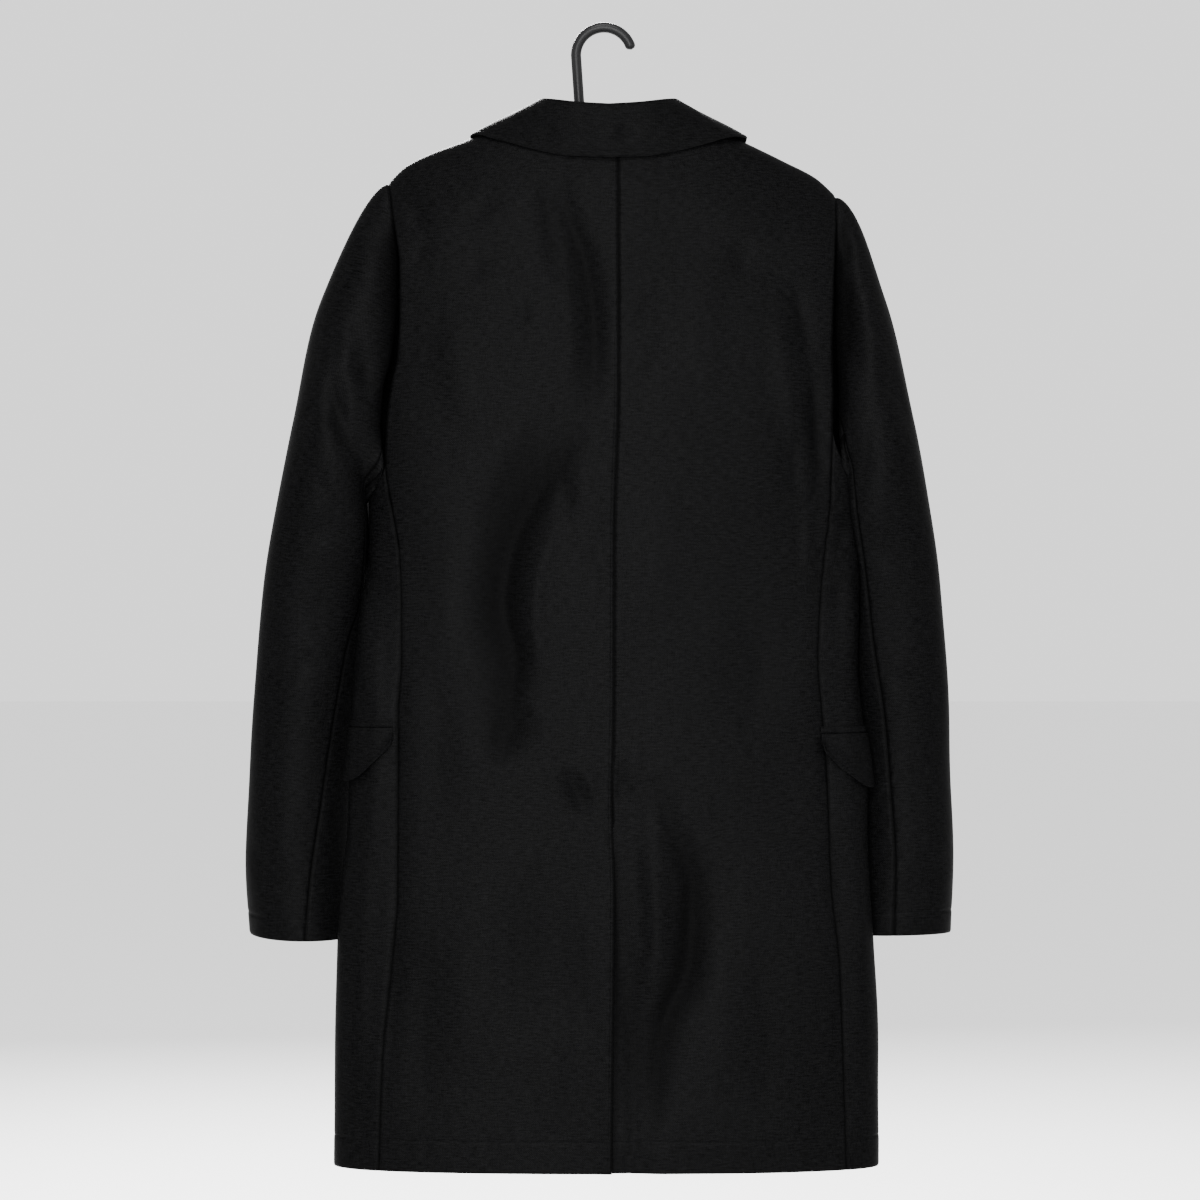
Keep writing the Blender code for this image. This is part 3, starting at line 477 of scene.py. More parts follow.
def weaveGroup():
    # Threads both ways, thick and thin yarn, and the nap that brushing leaves
    tree, given, made = nodeGroup(
        "woolWeave",
        [
            ("Cloth", "NodeSocketVector", None),
            ("Threads", "NodeSocketFloat", 900.0),
            ("Streaks", "NodeSocketFloat", 0.5),
        ],
        [("Height", "NodeSocketFloat"), ("Tone", "NodeSocketFloat"), ("Nap", "NodeSocketFloat")],
    )
    cloth = given.outputs["Cloth"]
    split = tree.nodes.new("ShaderNodeSeparateXYZ")
    tree.links.new(cloth, split.inputs[0])
    threads = mathNode(tree, "MULTIPLY", given.outputs["Threads"], math.pi)
    warp = mathNode(tree, "SINE", mathNode(tree, "MULTIPLY", split.outputs[0], threads))
    weft = mathNode(tree, "SINE", mathNode(tree, "MULTIPLY", split.outputs[1], threads))
    weave = mathNode(tree, "MULTIPLY", warp, weft)
    lying = noiseNode(tree, stretched(tree, cloth, (130, 680, 1)), 1.0, 2.0)
    standing = noiseNode(tree, stretched(tree, cloth, (760, 120, 1)), 1.0, 2.0)
    fuzz = noiseNode(tree, stretched(tree, cloth, (900, 900, 1)), 1.0, 3.0)
    streak = mixed(tree, lying, 0.7, standing, 0.3)
    patch = noiseNode(tree, stretched(tree, cloth, (9, 6, 1)), 1.0, 2.0)
    height = mixed(tree, mixed(tree, weave, 0.35, streak, 1.2), 1.0, fuzz, 0.8)
    tree.links.new(height, made.inputs["Height"])
    tone = mathNode(
        tree, "ADD", aroundZero(tree, streak, given.outputs["Streaks"]), aroundZero(tree, patch, 0.35)
    )
    tone = mathNode(tree, "ADD", tone, aroundZero(tree, fuzz, 1.3))
    tree.links.new(mathNode(tree, "ADD", tone, 0.5, clamp=True), made.inputs["Tone"])
    tree.links.new(mixed(tree, patch, 0.5, fuzz, 0.5), made.inputs["Nap"])
    return tree


woolWeave = weaveGroup()


def colourBetween(tree, mask, dark, light):
    node = tree.nodes.new("ShaderNodeMix")
    node.data_type = "RGBA"
    tree.links.new(mask, node.inputs["Factor"])
    node.inputs["A"].default_value = (*dark, 1)
    node.inputs["B"].default_value = (*light, 1)
    return node.outputs["Result"]


def valueBetween(tree, mask, low, high):
    node = tree.nodes.new("ShaderNodeMapRange")
    node.inputs["To Min"].default_value = low
    node.inputs["To Max"].default_value = high
    tree.links.new(mask, node.inputs["Value"])
    return node.outputs["Result"]


def bumpNode(tree, height, strength, distance):
    node = tree.nodes.new("ShaderNodeBump")
    node.inputs["Strength"].default_value = strength
    node.inputs["Distance"].default_value = distance
    tree.links.new(height, node.inputs["Height"])
    return node.outputs["Normal"]


def newMaterial(name, specular=0.5):
    material = bpy.data.materials.new(name)
    material.use_nodes = True
    tree = material.node_tree
    shader = tree.nodes["Principled BSDF"]
    shader.inputs["Specular IOR Level"].default_value = specular
    return material, tree, shader


def woolMaterial(name, look):
    material, tree, shader = newMaterial(name, look["specular"])
    cloth = tree.nodes.new("ShaderNodeUVMap")
    cloth.uv_map = "cloth"
    weave = tree.nodes.new("ShaderNodeGroup")
    weave.node_tree = woolWeave
    weave.inputs["Threads"].default_value = look["threads"]
    weave.inputs["Streaks"].default_value = look["streaks"]
    tree.links.new(cloth.outputs["UV"], weave.inputs["Cloth"])
    # Shade is painted into the creases and along the seams: the crease map darkens the colour there, and the
    # roughness rises so the silk is duller
    crease = tree.nodes.new("ShaderNodeUVMap")
    crease.uv_map = "crease"
    split = tree.nodes.new("ShaderNodeSeparateXYZ")
    tree.links.new(crease.outputs["UV"], split.inputs[0])
    kept = mathNode(tree, "SUBTRACT", 1.0, mathNode(tree, "MULTIPLY", split.outputs[0], look["paintedCreaseShade"]))
    tone = mathNode(tree, "MULTIPLY", weave.outputs["Tone"], kept)
    tree.links.new(colourBetween(tree, tone, look["dark"], look["light"]), shader.inputs["Base Color"])
    rough = valueBetween(tree, weave.outputs["Nap"], *look["roughness"])
    rough = mathNode(tree, "ADD", rough, mathNode(tree, "MULTIPLY", split.outputs[0], look["creaseDull"]))
    tree.links.new(rough, shader.inputs["Roughness"])
    relief = bumpNode(tree, weave.outputs["Height"], look["bump"], look["yarn"])
    tree.links.new(relief, shader.inputs["Normal"])
    material.diffuse_color = (*look["light"], 1)
    return material


woolLook = {
    "threads": 1050.0,
    "streaks": 2.0,
    "dark": (0.0001, 0.0001, 0.0001),
    "light": (0.0020, 0.0020, 0.0021),
    "roughness": (0.42, 0.52),
    "specular": 0.0080,
    "bump": 0.22,
    "yarn": 0.0006,
    # How much the painted shade in creases and seams darkens the colour
    "paintedCreaseShade": 0.5,
    "creaseDull": 0.08,
}


def hardMaterial(name, look):
    # Horn and plastic, cloudy in tone and gloss
    material, tree, shader = newMaterial(name, look["specular"])
    places = tree.nodes.new("ShaderNodeTexCoord").outputs["Object"]
    grain = noiseNode(tree, stretched(tree, places, look["grain"]), 1.0, 4.0)
    tree.links.new(colourBetween(tree, grain, look["dark"], look["light"]), shader.inputs["Base Color"])
    tree.links.new(valueBetween(tree, grain, *look["roughness"]), shader.inputs["Roughness"])
    if "skin" in look:
        skin = bumpNode(tree, noiseNode(tree, places, look["skin"], 2.0), look["bump"], look["skinDepth"])
        tree.links.new(skin, shader.inputs["Normal"])
    return material


bodyWool = woolMaterial("coat wool", woolLook)
trimWool = woolMaterial("collar and pocket wool", {**woolLook, "streaks": 1.8, "roughness": (0.48, 0.60)})
print("wool made")


def placed(name, data):
    thing = bpy.data.objects.new(name, data)
    bpy.context.scene.collection.objects.link(thing)
    return thing


def meshOf(name, points, faces):
    # Points in millimetres
    data = bpy.data.meshes.new(name)
    data.from_pydata((points * mm).tolist(), [], faces)
    data.update()
    return data


def finished(name, data, material, sharp):
    data.materials.append(material)
    data.shade_smooth()
    data.set_sharp_from_angle(angle=math.radians(sharp))
    return placed(name, data)


def gridMesh(name, layers, uvMaps, material):
    # Two grids of points in millimetres, outside and inside, closed round their rim
    outer, inner = layers
    countA, countB = outer.shape[:2]
    index = np.arange(countA * countB).reshape(countA, countB)
    a, b, c, d = index[:-1, :-1], index[1:, :-1], index[1:, 1:], index[:-1, 1:]
    quads = np.stack([a, b, c, d], axis=-1).reshape(-1, 4)
    past = countA * countB
    rim = np.concatenate([index[:, 0], index[-1, 1:], index[-2::-1, -1], index[0, -2:0:-1]])
    ahead = np.roll(rim, -1)
    band = np.stack([ahead, rim, rim + past, ahead + past], axis=-1)
    facing = np.cross(outer[1, 0] - outer[0, 0], outer[0, 1] - outer[0, 0]) @ (outer[0, 0] - inner[0, 0])
    if facing < 0:
        quads, band = quads[:, ::-1], band[:, ::-1]
    faces = np.concatenate([quads, quads[:, ::-1] + past, band])
    points = np.concatenate([outer.reshape(-1, 3), inner.reshape(-1, 3)])
    data = meshOf(name, points, faces.tolist())
    loops = np.empty(len(data.loops), dtype=np.int64)
    data.loops.foreach_get("vertex_index", loops)
    for label, uvs in uvMaps.items():
        flat = np.concatenate([uvs.reshape(-1, 2)] * 2)[loops]
        layer = data.uv_layers.new(name=label)
        layer.data.foreach_set("uv", flat.ravel())
    return finished(name, data, material, 55)


# How a seam pulls the cloth down, thins it and has shade painted along it, and how a free edge rounds off
seamForm = {"sink": 0.9, "thin": 0.8, "reach": 1.7, "shade": 1.5, "shadeReach": 1.4}
edgeForm = {"round": 0.3, "reach": 0.9}
turnUpThick = 1.3
# Fold depths over which shade is painted into the colour, from none to full
paintedShadeFrom, paintedShadeTo = 0.6, 7.5
phaseStep = 400.0  # keeps the weave of one panel from repeating on the next


def clothPiece(name, surface, look):
    # A thin shell on the solid's form, with the folds, seams and edges that the look lists
    across, down = np.meshgrid(look["columns"], look["rows"], indexing="ij")
    base = surface(across, down)
    normal = normalsOf(base)
    if look["facing"] < 0:
        normal = -normal
    back = ease(normal[..., 1], -0.05, 0.3)
    front = ease(-normal[..., 1], -0.05, 0.3)
    sink = foldField(base[..., 0], base[..., 2], look.get("backFolds", backFolds)) * back
    sink += foldField(base[..., 0], base[..., 2], look.get("frontFolds", frontFolds)) * front
    sink += drift(base[..., 0], base[..., 2], look.get("phase", 0.0))
    sink *= look.get("folded", lambda a, b: 1.0)(across, down) * coat["foldDepth"]
    u, v = runOf(base, 0), runOf(base, 1)
    away = {"start": u, "end": u[-1:] - u, "top": v, "bottom": v[:, -1:] - v}
    if "relief" in look:
        sink += look["relief"](base, away, across, down)
    # Painted shade: deeper folds darken the colour, and a look may paint more
    paintedShade = ease(sink, paintedShadeFrom, paintedShadeTo) + look.get("shade", lambda points: 0.0)(base)
    thick = np.full(u.shape, coat["cloth"])
    close = np.zeros(u.shape)
    for edge, distance in away.items():
        if edge in look["seams"]:
            sink += seamForm["sink"] * hump(distance, seamForm["reach"])
            # Painted shade along the seam
            paintedShade += seamForm["shade"] * hump(distance, seamForm["shadeReach"])
            thick -= seamForm["thin"] * hump(distance, seamForm["reach"])
        else:
            close += edgeForm["round"] * thick * hump(distance, edgeForm["reach"])
    outer = base - normal * (sink + close)[..., None]
    turned = normalsOf(outer) * np.sign(look["facing"])
    if "turnUp" in look:
        up = look["turnUp"]
        thick += turnUpThick * (1 - ease(away["bottom"], up - 1, up + 1)) * ease(away["bottom"], 0, 2)
    inner = outer - turned * (thick - close)[..., None]
    for layer in (outer, inner):
        for edge in look["seams"]:
            first, second = {
                "start": ((0, slice(None)), (1, slice(None))),
                "end": ((-1, slice(None)), (-2, slice(None))),
                "top": ((slice(None), 0), (slice(None), 1)),
            }[edge]
            way = layer[second] - layer[first]
            # Seams close: each side reaches a hair past the seam line
            layer[first] -= way / np.linalg.norm(way, axis=-1, keepdims=True) * coat["tuck"]
    height = -base[..., 2] if look.get("level", True) else -away["bottom"]
    uvs = np.stack([look["facing"] * u + look.get("phase", 0.0) * phaseStep, height], axis=-1) * mm
    # The crease map carries the painted shade to the material
    uvMaps = {"cloth": uvs, "crease": np.stack([paintedShade, 0 * paintedShade], axis=-1)}
    piece = gridMesh(name, (outer, inner), uvMaps, look.get("material", bodyWool))
    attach(piece, "root")
    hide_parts(look["node"])
    cell = np.cross(np.diff(outer, axis=0)[:, :-1], np.diff(outer, axis=1)[:-1])
    area = float(np.linalg.norm(cell, axis=-1).sum()) * mm * mm
    area = min(area, math.prod(look["flat"]))
    print(name, "is", round(float(u[-1].max())), "by", round(float(v[:, -1].max())), "mm")


# Shares down a body panel at which the shoulder's ridge ends and the chest line lies
ridgeEnd, chestRow = 5 / 30, 12 / 30
ridgeRun, upperRun = 105, 215


def lowerHeight(down):
    return coat["chest"] + (coat["hem"] - coat["chest"]) * (down - chestRow) / (1 - chestRow)


def shoulderPanel(edgeIn, edgeOut, topTurn, inset):
    # A panel that starts on the shoulder's ridge. Its edges give an angle for a height.
    def surface(across, down):
        fall = coat["shoulderFall"]
        height = np.minimum(lowerHeight(down), coat["shoulderTip"][1])
        for _ in range(12):
            angle = edgeIn(height) + (edgeOut(height) - edgeIn(height)) * across
            share = section(angle)[0]
            x = share * halfWidth(share, height)
            start = topTurn(x)
            turn = np.where(down < ridgeEnd, start + (90 - start) * down / ridgeEnd, 90)
            ridge = shoulder(x) - fall * (1 - np.cos(np.radians(turn)))
            line = shoulder(x) - fall
            upper = line + (coat["chest"] - line) * (down - ridgeEnd) / (chestRow - ridgeEnd)
            below = np.where(down < chestRow, upper, lowerHeight(down))
            height = np.where(down < ridgeEnd, ridge, below)
        return bodyPoint(angle, height, np.sin(np.radians(turn)), inset(x, height))

    return surface


def panelRows(step):
    ridge = np.linspace(0, ridgeEnd, int(ridgeRun / step) + 1)[:-1]
    upper = np.linspace(ridgeEnd, chestRow, int(upperRun / step) + 1)[:-1]
    length = coat["chest"] - coat["hem"]
    lower = chestRow + (1 - chestRow) * spread(
        length, step, [(length - coat["hemTurnUp"], 1.5, 0.9), (length, 1, 0.8)]
    )
    return np.concatenate([ridge, upper, lower])


# The marks that a turned-up hem or cuff leaves on the outside
hemMarks = {
    "line": 0.35,
    "lineReach": 1.2,
    "pucker": 0.16,
    "puckerReach": 9.0,
    "puckerStep": 4.1,
    "wander": 1.4,
    "wanderStep": 13.0,
    "stand": 0.12,
}
cuffMarks = {**hemMarks, "line": 0.4, "lineReach": 1.5, "puckerReach": 8.0, "puckerStep": 3.6}
cuffMarks.update(wander=1.0, wanderStep=11.0)


def turnUpRelief(away, up, marks):
    # A faint line with small puckers above it, and the doubled cloth below standing out a hair
    line = marks["line"] * hump(away["bottom"] - up, marks["lineReach"])
    near = hump(away["bottom"] - up + 4, marks["puckerReach"])
    wander = marks["wander"] * np.sin(away["start"] / marks["wanderStep"])
    pucker = marks["pucker"] * np.sin(away["start"] / marks["puckerStep"] + wander) * near
    return line + pucker - marks["stand"] * (1 - ease(away["bottom"], up - 3, up))


def hemRelief(away):
    return turnUpRelief(away, coat["hemTurnUp"], hemMarks)


def seamPucker(away, edge, size=0.12):
    # Small puckers along a seam, unevenly spaced
    reach, step, wander, wanderStep = 5, 3.7, 2, 17
    wave = np.sin(away["top"] / step + wander * np.sin(away["top"] / wanderStep))
    return size * wave * hump(away[edge], reach)


def stitchLine(distance, inset, depth, width=0.8):
    # Stitches draw the cloth in along an edge
    return depth * hump(distance - inset, width)


def necklineTurn(x):
    centre, half = coat["neckCentre"], coat["neckHalfWidth"]
    share = np.clip(np.abs(x - centre) / half, 0, 1)
    neckSide = centre + np.sign(x - centre) * half
    neckline = coat["backNeck"] + (shoulder(neckSide) - coat["backNeck"]) * share**2.2
    drop = np.clip((shoulder(x) - neckline) / coat["shoulderFall"], 0, 1)
    return np.degrees(np.arccos(1 - drop))


def onRidge(x):
    return 0 * x


def noInset(x, height):
    return 0 * x


# Where one layer goes under another: across, and down from the hook
ventLap = {"across": (-52, -24), "down": (640, 690), "extra": 1.4}
frontLap = {"across": (-76, -44), "down": (250, 308), "settles": 60}


def ventInset(x, height):
    under = ease(x, *ventLap["across"]) * ease(-height, *ventLap["down"])
    return (coat["layer"] + ventLap["extra"]) * under


def overlapInset(x, height):
    under = ease(x, *frontLap["across"]) * ease(-height, *frontLap["down"])
    past = -height + coat["lapelBreak"]
    return under * coat["layer"] * (2 - ease(past, 0, frontLap["settles"]))


# Backs. The vent's loose edge springs out a little, and the underlap has a crease at its foot.
ventFacts = {
    "stitched": (255, 275),
    "spring": 1.8,
    "springReach": 12.0,
    # The shadow painted beside the vent: its strength, offset, width and heights
    "springs": (690, 860),
    "shade": 1.7,
    "slit": 1.0,
    "shadeReach": 1.9,
    "shadeFrom": (700, 735),
}
footCrease = {"across": -26, "lean": 5, "depth": 1.6, "reach": 2.6, "down": (925, 960), "swell": 0.4}


def backRelief(side):
    def relief(base, away, across, down):
        height = base[..., 2]
        sink = hemRelief(away) + seamPucker(away, "start") + seamPucker(away, "end", 0.16)
        if side > 0:
            sink += stitchLine(away["start"], 2.7, 0.4, 0.55) * ease(-height, *ventFacts["stitched"])
            loose = hump(away["start"], ventFacts["springReach"]) * ease(-height, *ventFacts["springs"])
            sink -= ventFacts["spring"] * loose
        else:
            swell = ease(-height, 925, 950) * (1 - ease(-height, 968, 985))
            bend = base[..., 0] - footCrease["across"] - footCrease["lean"] * ease(-height, 955, 994)
            crease = hump(bend, footCrease["reach"]) * ease(-height, *footCrease["down"])
            sink += footCrease["depth"] * crease - footCrease["swell"] * swell
        return sink

    return relief


def centreLeft(height):
    return angleAt(at(centreBack, "across", height), height, False)


def centreRight(height):
    return angleAt(at(centreBack, "across", height) + at(ventEdge, "past", height), height, False)


def ventPaintedShadow(base):
    # Painted shadow: a dark line on the right back beside the vent's loose edge
    apart = at(centreBack, "across", base[..., 2]) - base[..., 0]
    slit = hump(apart - ventFacts["slit"], ventFacts["shadeReach"])
    return ventFacts["shade"] * slit * ease(-base[..., 2], *ventFacts["shadeFrom"])


backLook = {
    "columns": spread(192, 2.7, [(0, 3.2, 0.55), (192, 1.5, 0.8)]),
    "rows": panelRows(2.9),
    "seams": ("start", "end", "top"),
    "turnUp": coat["hemTurnUp"],
    "restsOn": ["hanger"],
}
# Each side's inner edge, how it goes under, and what it alone has
backSides = {
    1: (centreLeft, noInset, {"flat": (0.235, 0.95), "phase": 0.0}),
    -1: (centreRight, ventInset, {"flat": (0.28, 0.95), "phase": 1.4, "shade": ventPaintedShadow}),
}
for side, label in sides:
    centre, inset, own = backSides[side]
    panel = shoulderPanel(centre, lambda h, s=side: backEdgeAngle(s, h), necklineTurn, inset)
    look = {**backLook, **own, "node": "back_" + label, "facing": side, "relief": backRelief(side)}
    clothPiece("backPanel_" + label, panel, look)
print("backs made")


# Fronts
def rollX(side, height):
    return coat["neckCentre"] + side * at(rollLine, "across", height)


frontLook = {
    "columns": spread(200, 3.4, [(0, 1.5, 0.8), (200, 1.5, 0.9)]),
    "rows": panelRows(3.6),
    "seams": ("end", "top"),
    "turnUp": coat["hemTurnUp"],
    "restsOn": ["hanger"],
}


def frontRelief(base, away, across, down):
    edge = stitchLine(away["start"], 6, 0.35, 0.9) * ease(-base[..., 2], 425, 445)
    return hemRelief(away) + seamPucker(away, "end") + edge


frontLook.update(flat=(0.265, 0.955), relief=frontRelief)
for side, label in sides:
    panel = shoulderPanel(
        lambda h, s=side: angleAt(rollX(s, h), h, True),
        lambda h, s=side: frontEdgeAngle(s, h),
        onRidge,
        noInset if side > 0 else overlapInset,
    )
    look = {**frontLook, "node": "front_" + label, "facing": -side, "phase": 1.0 + side}
    clothPiece("frontPanel_" + label, panel, look)
print("fronts made")


# Side panels, from the side-back seam round to the front
def sidePanel(side):
    rowCount, upperRows = 20, 2  # as in the solids
    upperShare, lastUpper = upperRows / rowCount, (upperRows + 1) / rowCount

    def surface(across, down):
        chest, hem = coat["chest"], coat["hem"]
        low = chest + (hem - chest) * (down - upperShare) / (1 - upperShare)
        height = np.minimum(low, chest)
        for _ in range(6):
            rear = np.abs(backEdgeAngle(side, height))
            angle = rear + (coat["sideFrontAngle"] - rear) * across
            top = underarmHeight(side, angle)
            first = chest + (hem - chest) / (rowCount - upperRows)
            height = np.where(down < lastUpper, top + (first - top) * down / lastUpper, low)
        return bodyPoint(side * angle, height, 1.0)

    return surface


def sideRelief(base, away, across, down):
    return hemRelief(away) + seamPucker(away, "start", 0.2) + seamPucker(away, "end", 0.14)


sideLook = {
    "columns": spread(110, 2.7, [(0, 1.5, 0.8), (110, 1.5, 0.8)]),
    "rows": spread(600, 3.0, [(0, 1.5, 0.9), (600 - coat["hemTurnUp"], 1.5, 0.9), (600, 1, 0.8)]),
    "seams": ("start", "end", "top"),
    "turnUp": coat["hemTurnUp"],
    "restsOn": ["back_left", "back_right"],
    "relief": sideRelief,
}
for side, label in sides:
    look = {**sideLook, "node": "side_" + label, "facing": side, "flat": (0.125, 0.65), "phase": 2.0 + side}
    clothPiece("sidePanel_" + label, sidePanel(side), look)
print("side panels made")

# Sleeves, by stations from the armhole down to the cuff
sleeveForm = {
    "station": [1, 2, 3, 4, 5, 6, 7, 8],
    "outer": [-234, -340, -446, -516, -588, -659, -731, -795],
    "inner": [-412, -446, -500, -548, -606, -669, -737, -797],
    "left": [248, 273, 295, 305, 312, 316, 320, 317],
    "right": [247, 272, 292, 301, 307, 309, 312, 310],
    "width": [44, 74, 96, 103, 101, 97, 97, 96],
    "centre": [-6, -14, -30, -40, -46, -50, -53, -55],
    "skew": [6, 12, 15, 13, 10, 7, 4, 2],
    "depth": [48, 54, 52, 50, 48, 47, 46, 45],
    "seamLeft": [143, 140, 137, 122, 118, 114, 106, 96],
    "seamRight": [125, 116, 108, 105, 102, 100, 98, 98],
}
sleeveFacts = {
    "stations": 8,
    "stationLength": 80.0,
    "cuffDrop": {1: 4.0, -1: -1.0},
    "armholeSeamTurn": {1: 135.0, -1: 118.0},
    "forearmSeamTurn": -125.0,
    "clearance": 0.2,
    "softness": 3.0,
    "settle": 28.0,
    "leaveOut": (32.0, 26.0),
    "leaveBack": 10.0,
    "leaveUp": (-38.0, 22.0),
    "cuffTurnUp": {1: 19.0, -1: 20.0},
}
# How the sleeve rolls in to its armhole, deepest at the back between two heights
rollIn = {"seam": 0.6, "deepSeam": 2.0, "seamReach": 6.0, "roll": 7.5, "rollReach": 24.0}
rollIn.update(starts=(150, 200), ends=(345, 385))
# Creases round a sleeve: turn and way down at each end, half width and depth
sleeveFolds = {
    1: [
        (96, 88, 42, 150, 9, 2.6),
        (112, 184, 52, 232, 11, 2.4),
        (-58, 208, -100, 262, 11, 3.6),
        (84, 344, 38, 384, 12, 2.4),
        (-40, 330, -90, 372, 12, 3.0),
        (-44, 420, -96, 446, 10, 2.2),
        (30, 540, 80, 580, 14, 1.4),
        (-100, 96, -70, 170, 10, 2.4),
    ],
    -1: [
        (60, 96, 30, 160, 10, 2.2),
        (100, 210, 46, 262, 12, 2.2),
        (-54, 214, -104, 270, 11, 3.6),
        (88, 360, 42, 392, 12, 2.0),
        (-36, 338, -88, 366, 12, 3.0),
        (-46, 430, -98, 462, 10, 2.0),
        (40, 560, 86, 600, 14, 1.4),
        (-98, 100, -66, 178, 10, 2.4),
    ],
}
# Those that show from the back, placed across and up
sleeveBackFolds = [
    ([(238, -300), (233, -330), (224, -358), (212, -372)], 7, 9, 3.4),
    ([(216, -282), (208, -298), (204, -322)], 8, 8, 3.0),
    ([(226, -250), (222, -290), (214, -330)], 9, 9, -1.6),
    ([(250, -380), (240, -410), (224, -432)], 9, 10, 1.6),
    ([(262, -460), (254, -500), (256, -540)], 14, 14, 1.4),
    ([(-214, -160), (-213, -205)], 5, 7, 2.4),
    ([(-213, -215), (-214, -260), (-216, -300)], 10, 8, 2.6),
    ([(-228, -200), (-236, -260), (-240, -320)], 12, 12, -1.6),
    ([(-236, -330), (-228, -372), (-222, -420)], 9, 12, 2.0),
    ([(-262, -470), (-256, -520), (-258, -560)], 14, 14, 1.4),
]


def sleeveRing(side, station, turn):
    half = at(sleeveForm, "width", station) / 2
    outer, inner = at(sleeveForm, "outer", station), at(sleeveForm, "inner", station)
    drop = sleeveFacts["cuffDrop"][side] * station / sleeveFacts["stations"]
    out, back = np.cos(np.radians(turn)), np.sin(np.radians(turn))
    x = at(sleeveForm, sideKey(side), station) - half + half * out
    y = at(sleeveForm, "centre", station) + at(sleeveForm, "skew", station) * out
    y = y + at(sleeveForm, "depth", station) * back
    height = (outer + inner) / 2 + (outer - inner) / 2 * out - drop * back
    return np.stack([side * x, y, height], axis=-1)


def clearOfBody(side, points):
    # Pushes a sleeve's points out of the body, softly
    x, y, height = points[..., 0], points[..., 1], points[..., 2]
    clearance, softness = sleeveFacts["clearance"], sleeveFacts["softness"]
    n = coat["roundness"]
    wide = halfWidth(x, height) + clearance
    deep = halfDepth(y, height) + clearance
    share = np.abs(y / deep)
    beside = wide * np.clip(1 - share**n, 0, 1) ** (1 / n)
    corner = np.where(y >= 0, coat["armholeCorner"][side], coat["frontArmholeEnd"])
    gap = np.clip((beside - np.abs(x)) / softness, -30, 30)
    push = softness * np.log1p(np.exp(gap)) * ease(corner - height, 0, sleeveFacts["settle"])
    moved = np.where(share < 1, np.sign(x) * (np.abs(x) + push), x)
    return np.stack([moved, y, height], axis=-1)


def sleevePoint(side, turn, along):
    last = sleeveFacts["stations"]
    cell = np.clip(np.floor(along), 0, last - 1)
    t = (along - cell)[..., None]
    out, back = np.cos(np.radians(turn)), np.sin(np.radians(turn))
    leaveOut = side * (sleeveFacts["leaveOut"][0] + sleeveFacts["leaveOut"][1] * out)
    leaveUp = sleeveFacts["leaveUp"][0] + sleeveFacts["leaveUp"][1] * out
    leave = np.stack([leaveOut, sleeveFacts["leaveBack"] * back, leaveUp], axis=-1)
    start = armhole(side, turn)
    start = start + leave / np.linalg.norm(leave, axis=-1, keepdims=True) * coat["armholeGap"]

    def ring(station):
        inside = sleeveRing(side, np.clip(station, 1, last), turn)
        return np.where((station < 0.5)[..., None], start, inside)

    def slope(station):
        middle = (ring(station + 1) - ring(np.maximum(station - 1, 0))) / 2
        final = ring(station) - ring(np.maximum(station - 1, 0))
        atEnd = (station > last - 0.5)[..., None]
        return np.where((station < 0.5)[..., None], leave, np.where(atEnd, final, middle))

    return clearOfBody(side, hermite(ring(cell), ring(cell + 1), slope(cell), slope(cell + 1), t))


def sleeveCrease(side, turn, along):
    sunk = np.zeros(turn.shape)
    way = along * sleeveFacts["stationLength"]
    for turn0, way0, turn1, way1, width, depth in sleeveFolds[side]:
        run = np.array([turn1 - turn0, way1 - way0])
        part = np.clip(((turn - turn0) * run[0] + (way - way0) * run[1]) / (run @ run), 0, 1)
        apart = np.hypot(turn - turn0 - part * run[0], way - way0 - part * run[1])
        sunk += depth * hump(apart, width) * np.sin(np.pi * (0.15 + 0.7 * part))
    return sunk


def elbowTurn(side, along):
    first = sleeveFacts["armholeSeamTurn"][side]
    down = at(sleeveForm, "seam" + sideKey(side).capitalize(), along)
    return first + (down - first) * ease(along, 0, 1)


def sleevePanel(side, past):
    def surface(across, down):
        along = np.clip(down, 0, 1) * sleeveFacts["stations"]
        seam = elbowTurn(side, along)
        turn = seam + (sleeveFacts["forearmSeamTurn"] + past - seam) * across
        point = sleevePoint(side, turn, along)
        way = sleevePoint(side, turn + 180, along) - point
        way /= np.linalg.norm(way, axis=-1, keepdims=True)
        return point + way * sleeveCrease(side, turn, along)[..., None]

    return surface


def sleeveRelief(side):
    def relief(base, away, across, down):
        cuff = turnUpRelief(away, sleeveFacts["cuffTurnUp"][side], cuffMarks)
        gathered = 0.35 * np.sin(away["start"] / 6.5) * hump(away["top"], 9)
        below = -base[..., 2]
        deep = ease(base[..., 1], 0, 20) * ease(below, *rollIn["starts"]) * (1 - ease(below, *rollIn["ends"]))
        rolled = (rollIn["seam"] + rollIn["deepSeam"] * deep) * hump(away["top"], rollIn["seamReach"])
        rolled += rollIn["roll"] * deep * hump(away["top"], rollIn["rollReach"])
        return cuff + gathered + rolled + seamPucker(away, "start", 0.14)

    return relief


sleeveLook = {
    "seams": ("start", "end", "top"),
    "backFolds": sleeveBackFolds,
    "frontFolds": [],
    "level": False,
    "restsOn": ["hanger"],
}
topLook = {"columns": spread(215, 2.9, [(0, 1.5, 0.8), (215, 1.5, 0.9)]), "flat": (0.25, 0.69)}
underLook = {"columns": spread(110, 3.0, [(0, 1.5, 0.8), (110, 1.5, 0.9)]), "flat": (0.16, 0.6)}
for side, label in sides:
    up = sleeveFacts["cuffTurnUp"][side]
    rows = spread(620, 3.0, [(0, 2, 1.0), (620 - up, 1.5, 0.8), (620, 1, 0.8)])
    shared = {**sleeveLook, "relief": sleeveRelief(side), "turnUp": up, "rows": rows, "phase": 3.0 + side}
    for part, past, facing, own in (("top", 0, side, topLook), ("under", 360, -side, underLook)):
        look = {**shared, **own, "node": "sleeve_%s_%s" % (part, label), "facing": facing}
        clothPiece("%sSleeve_%s" % (part, label), sleevePanel(side, past), look)
print("sleeves made")

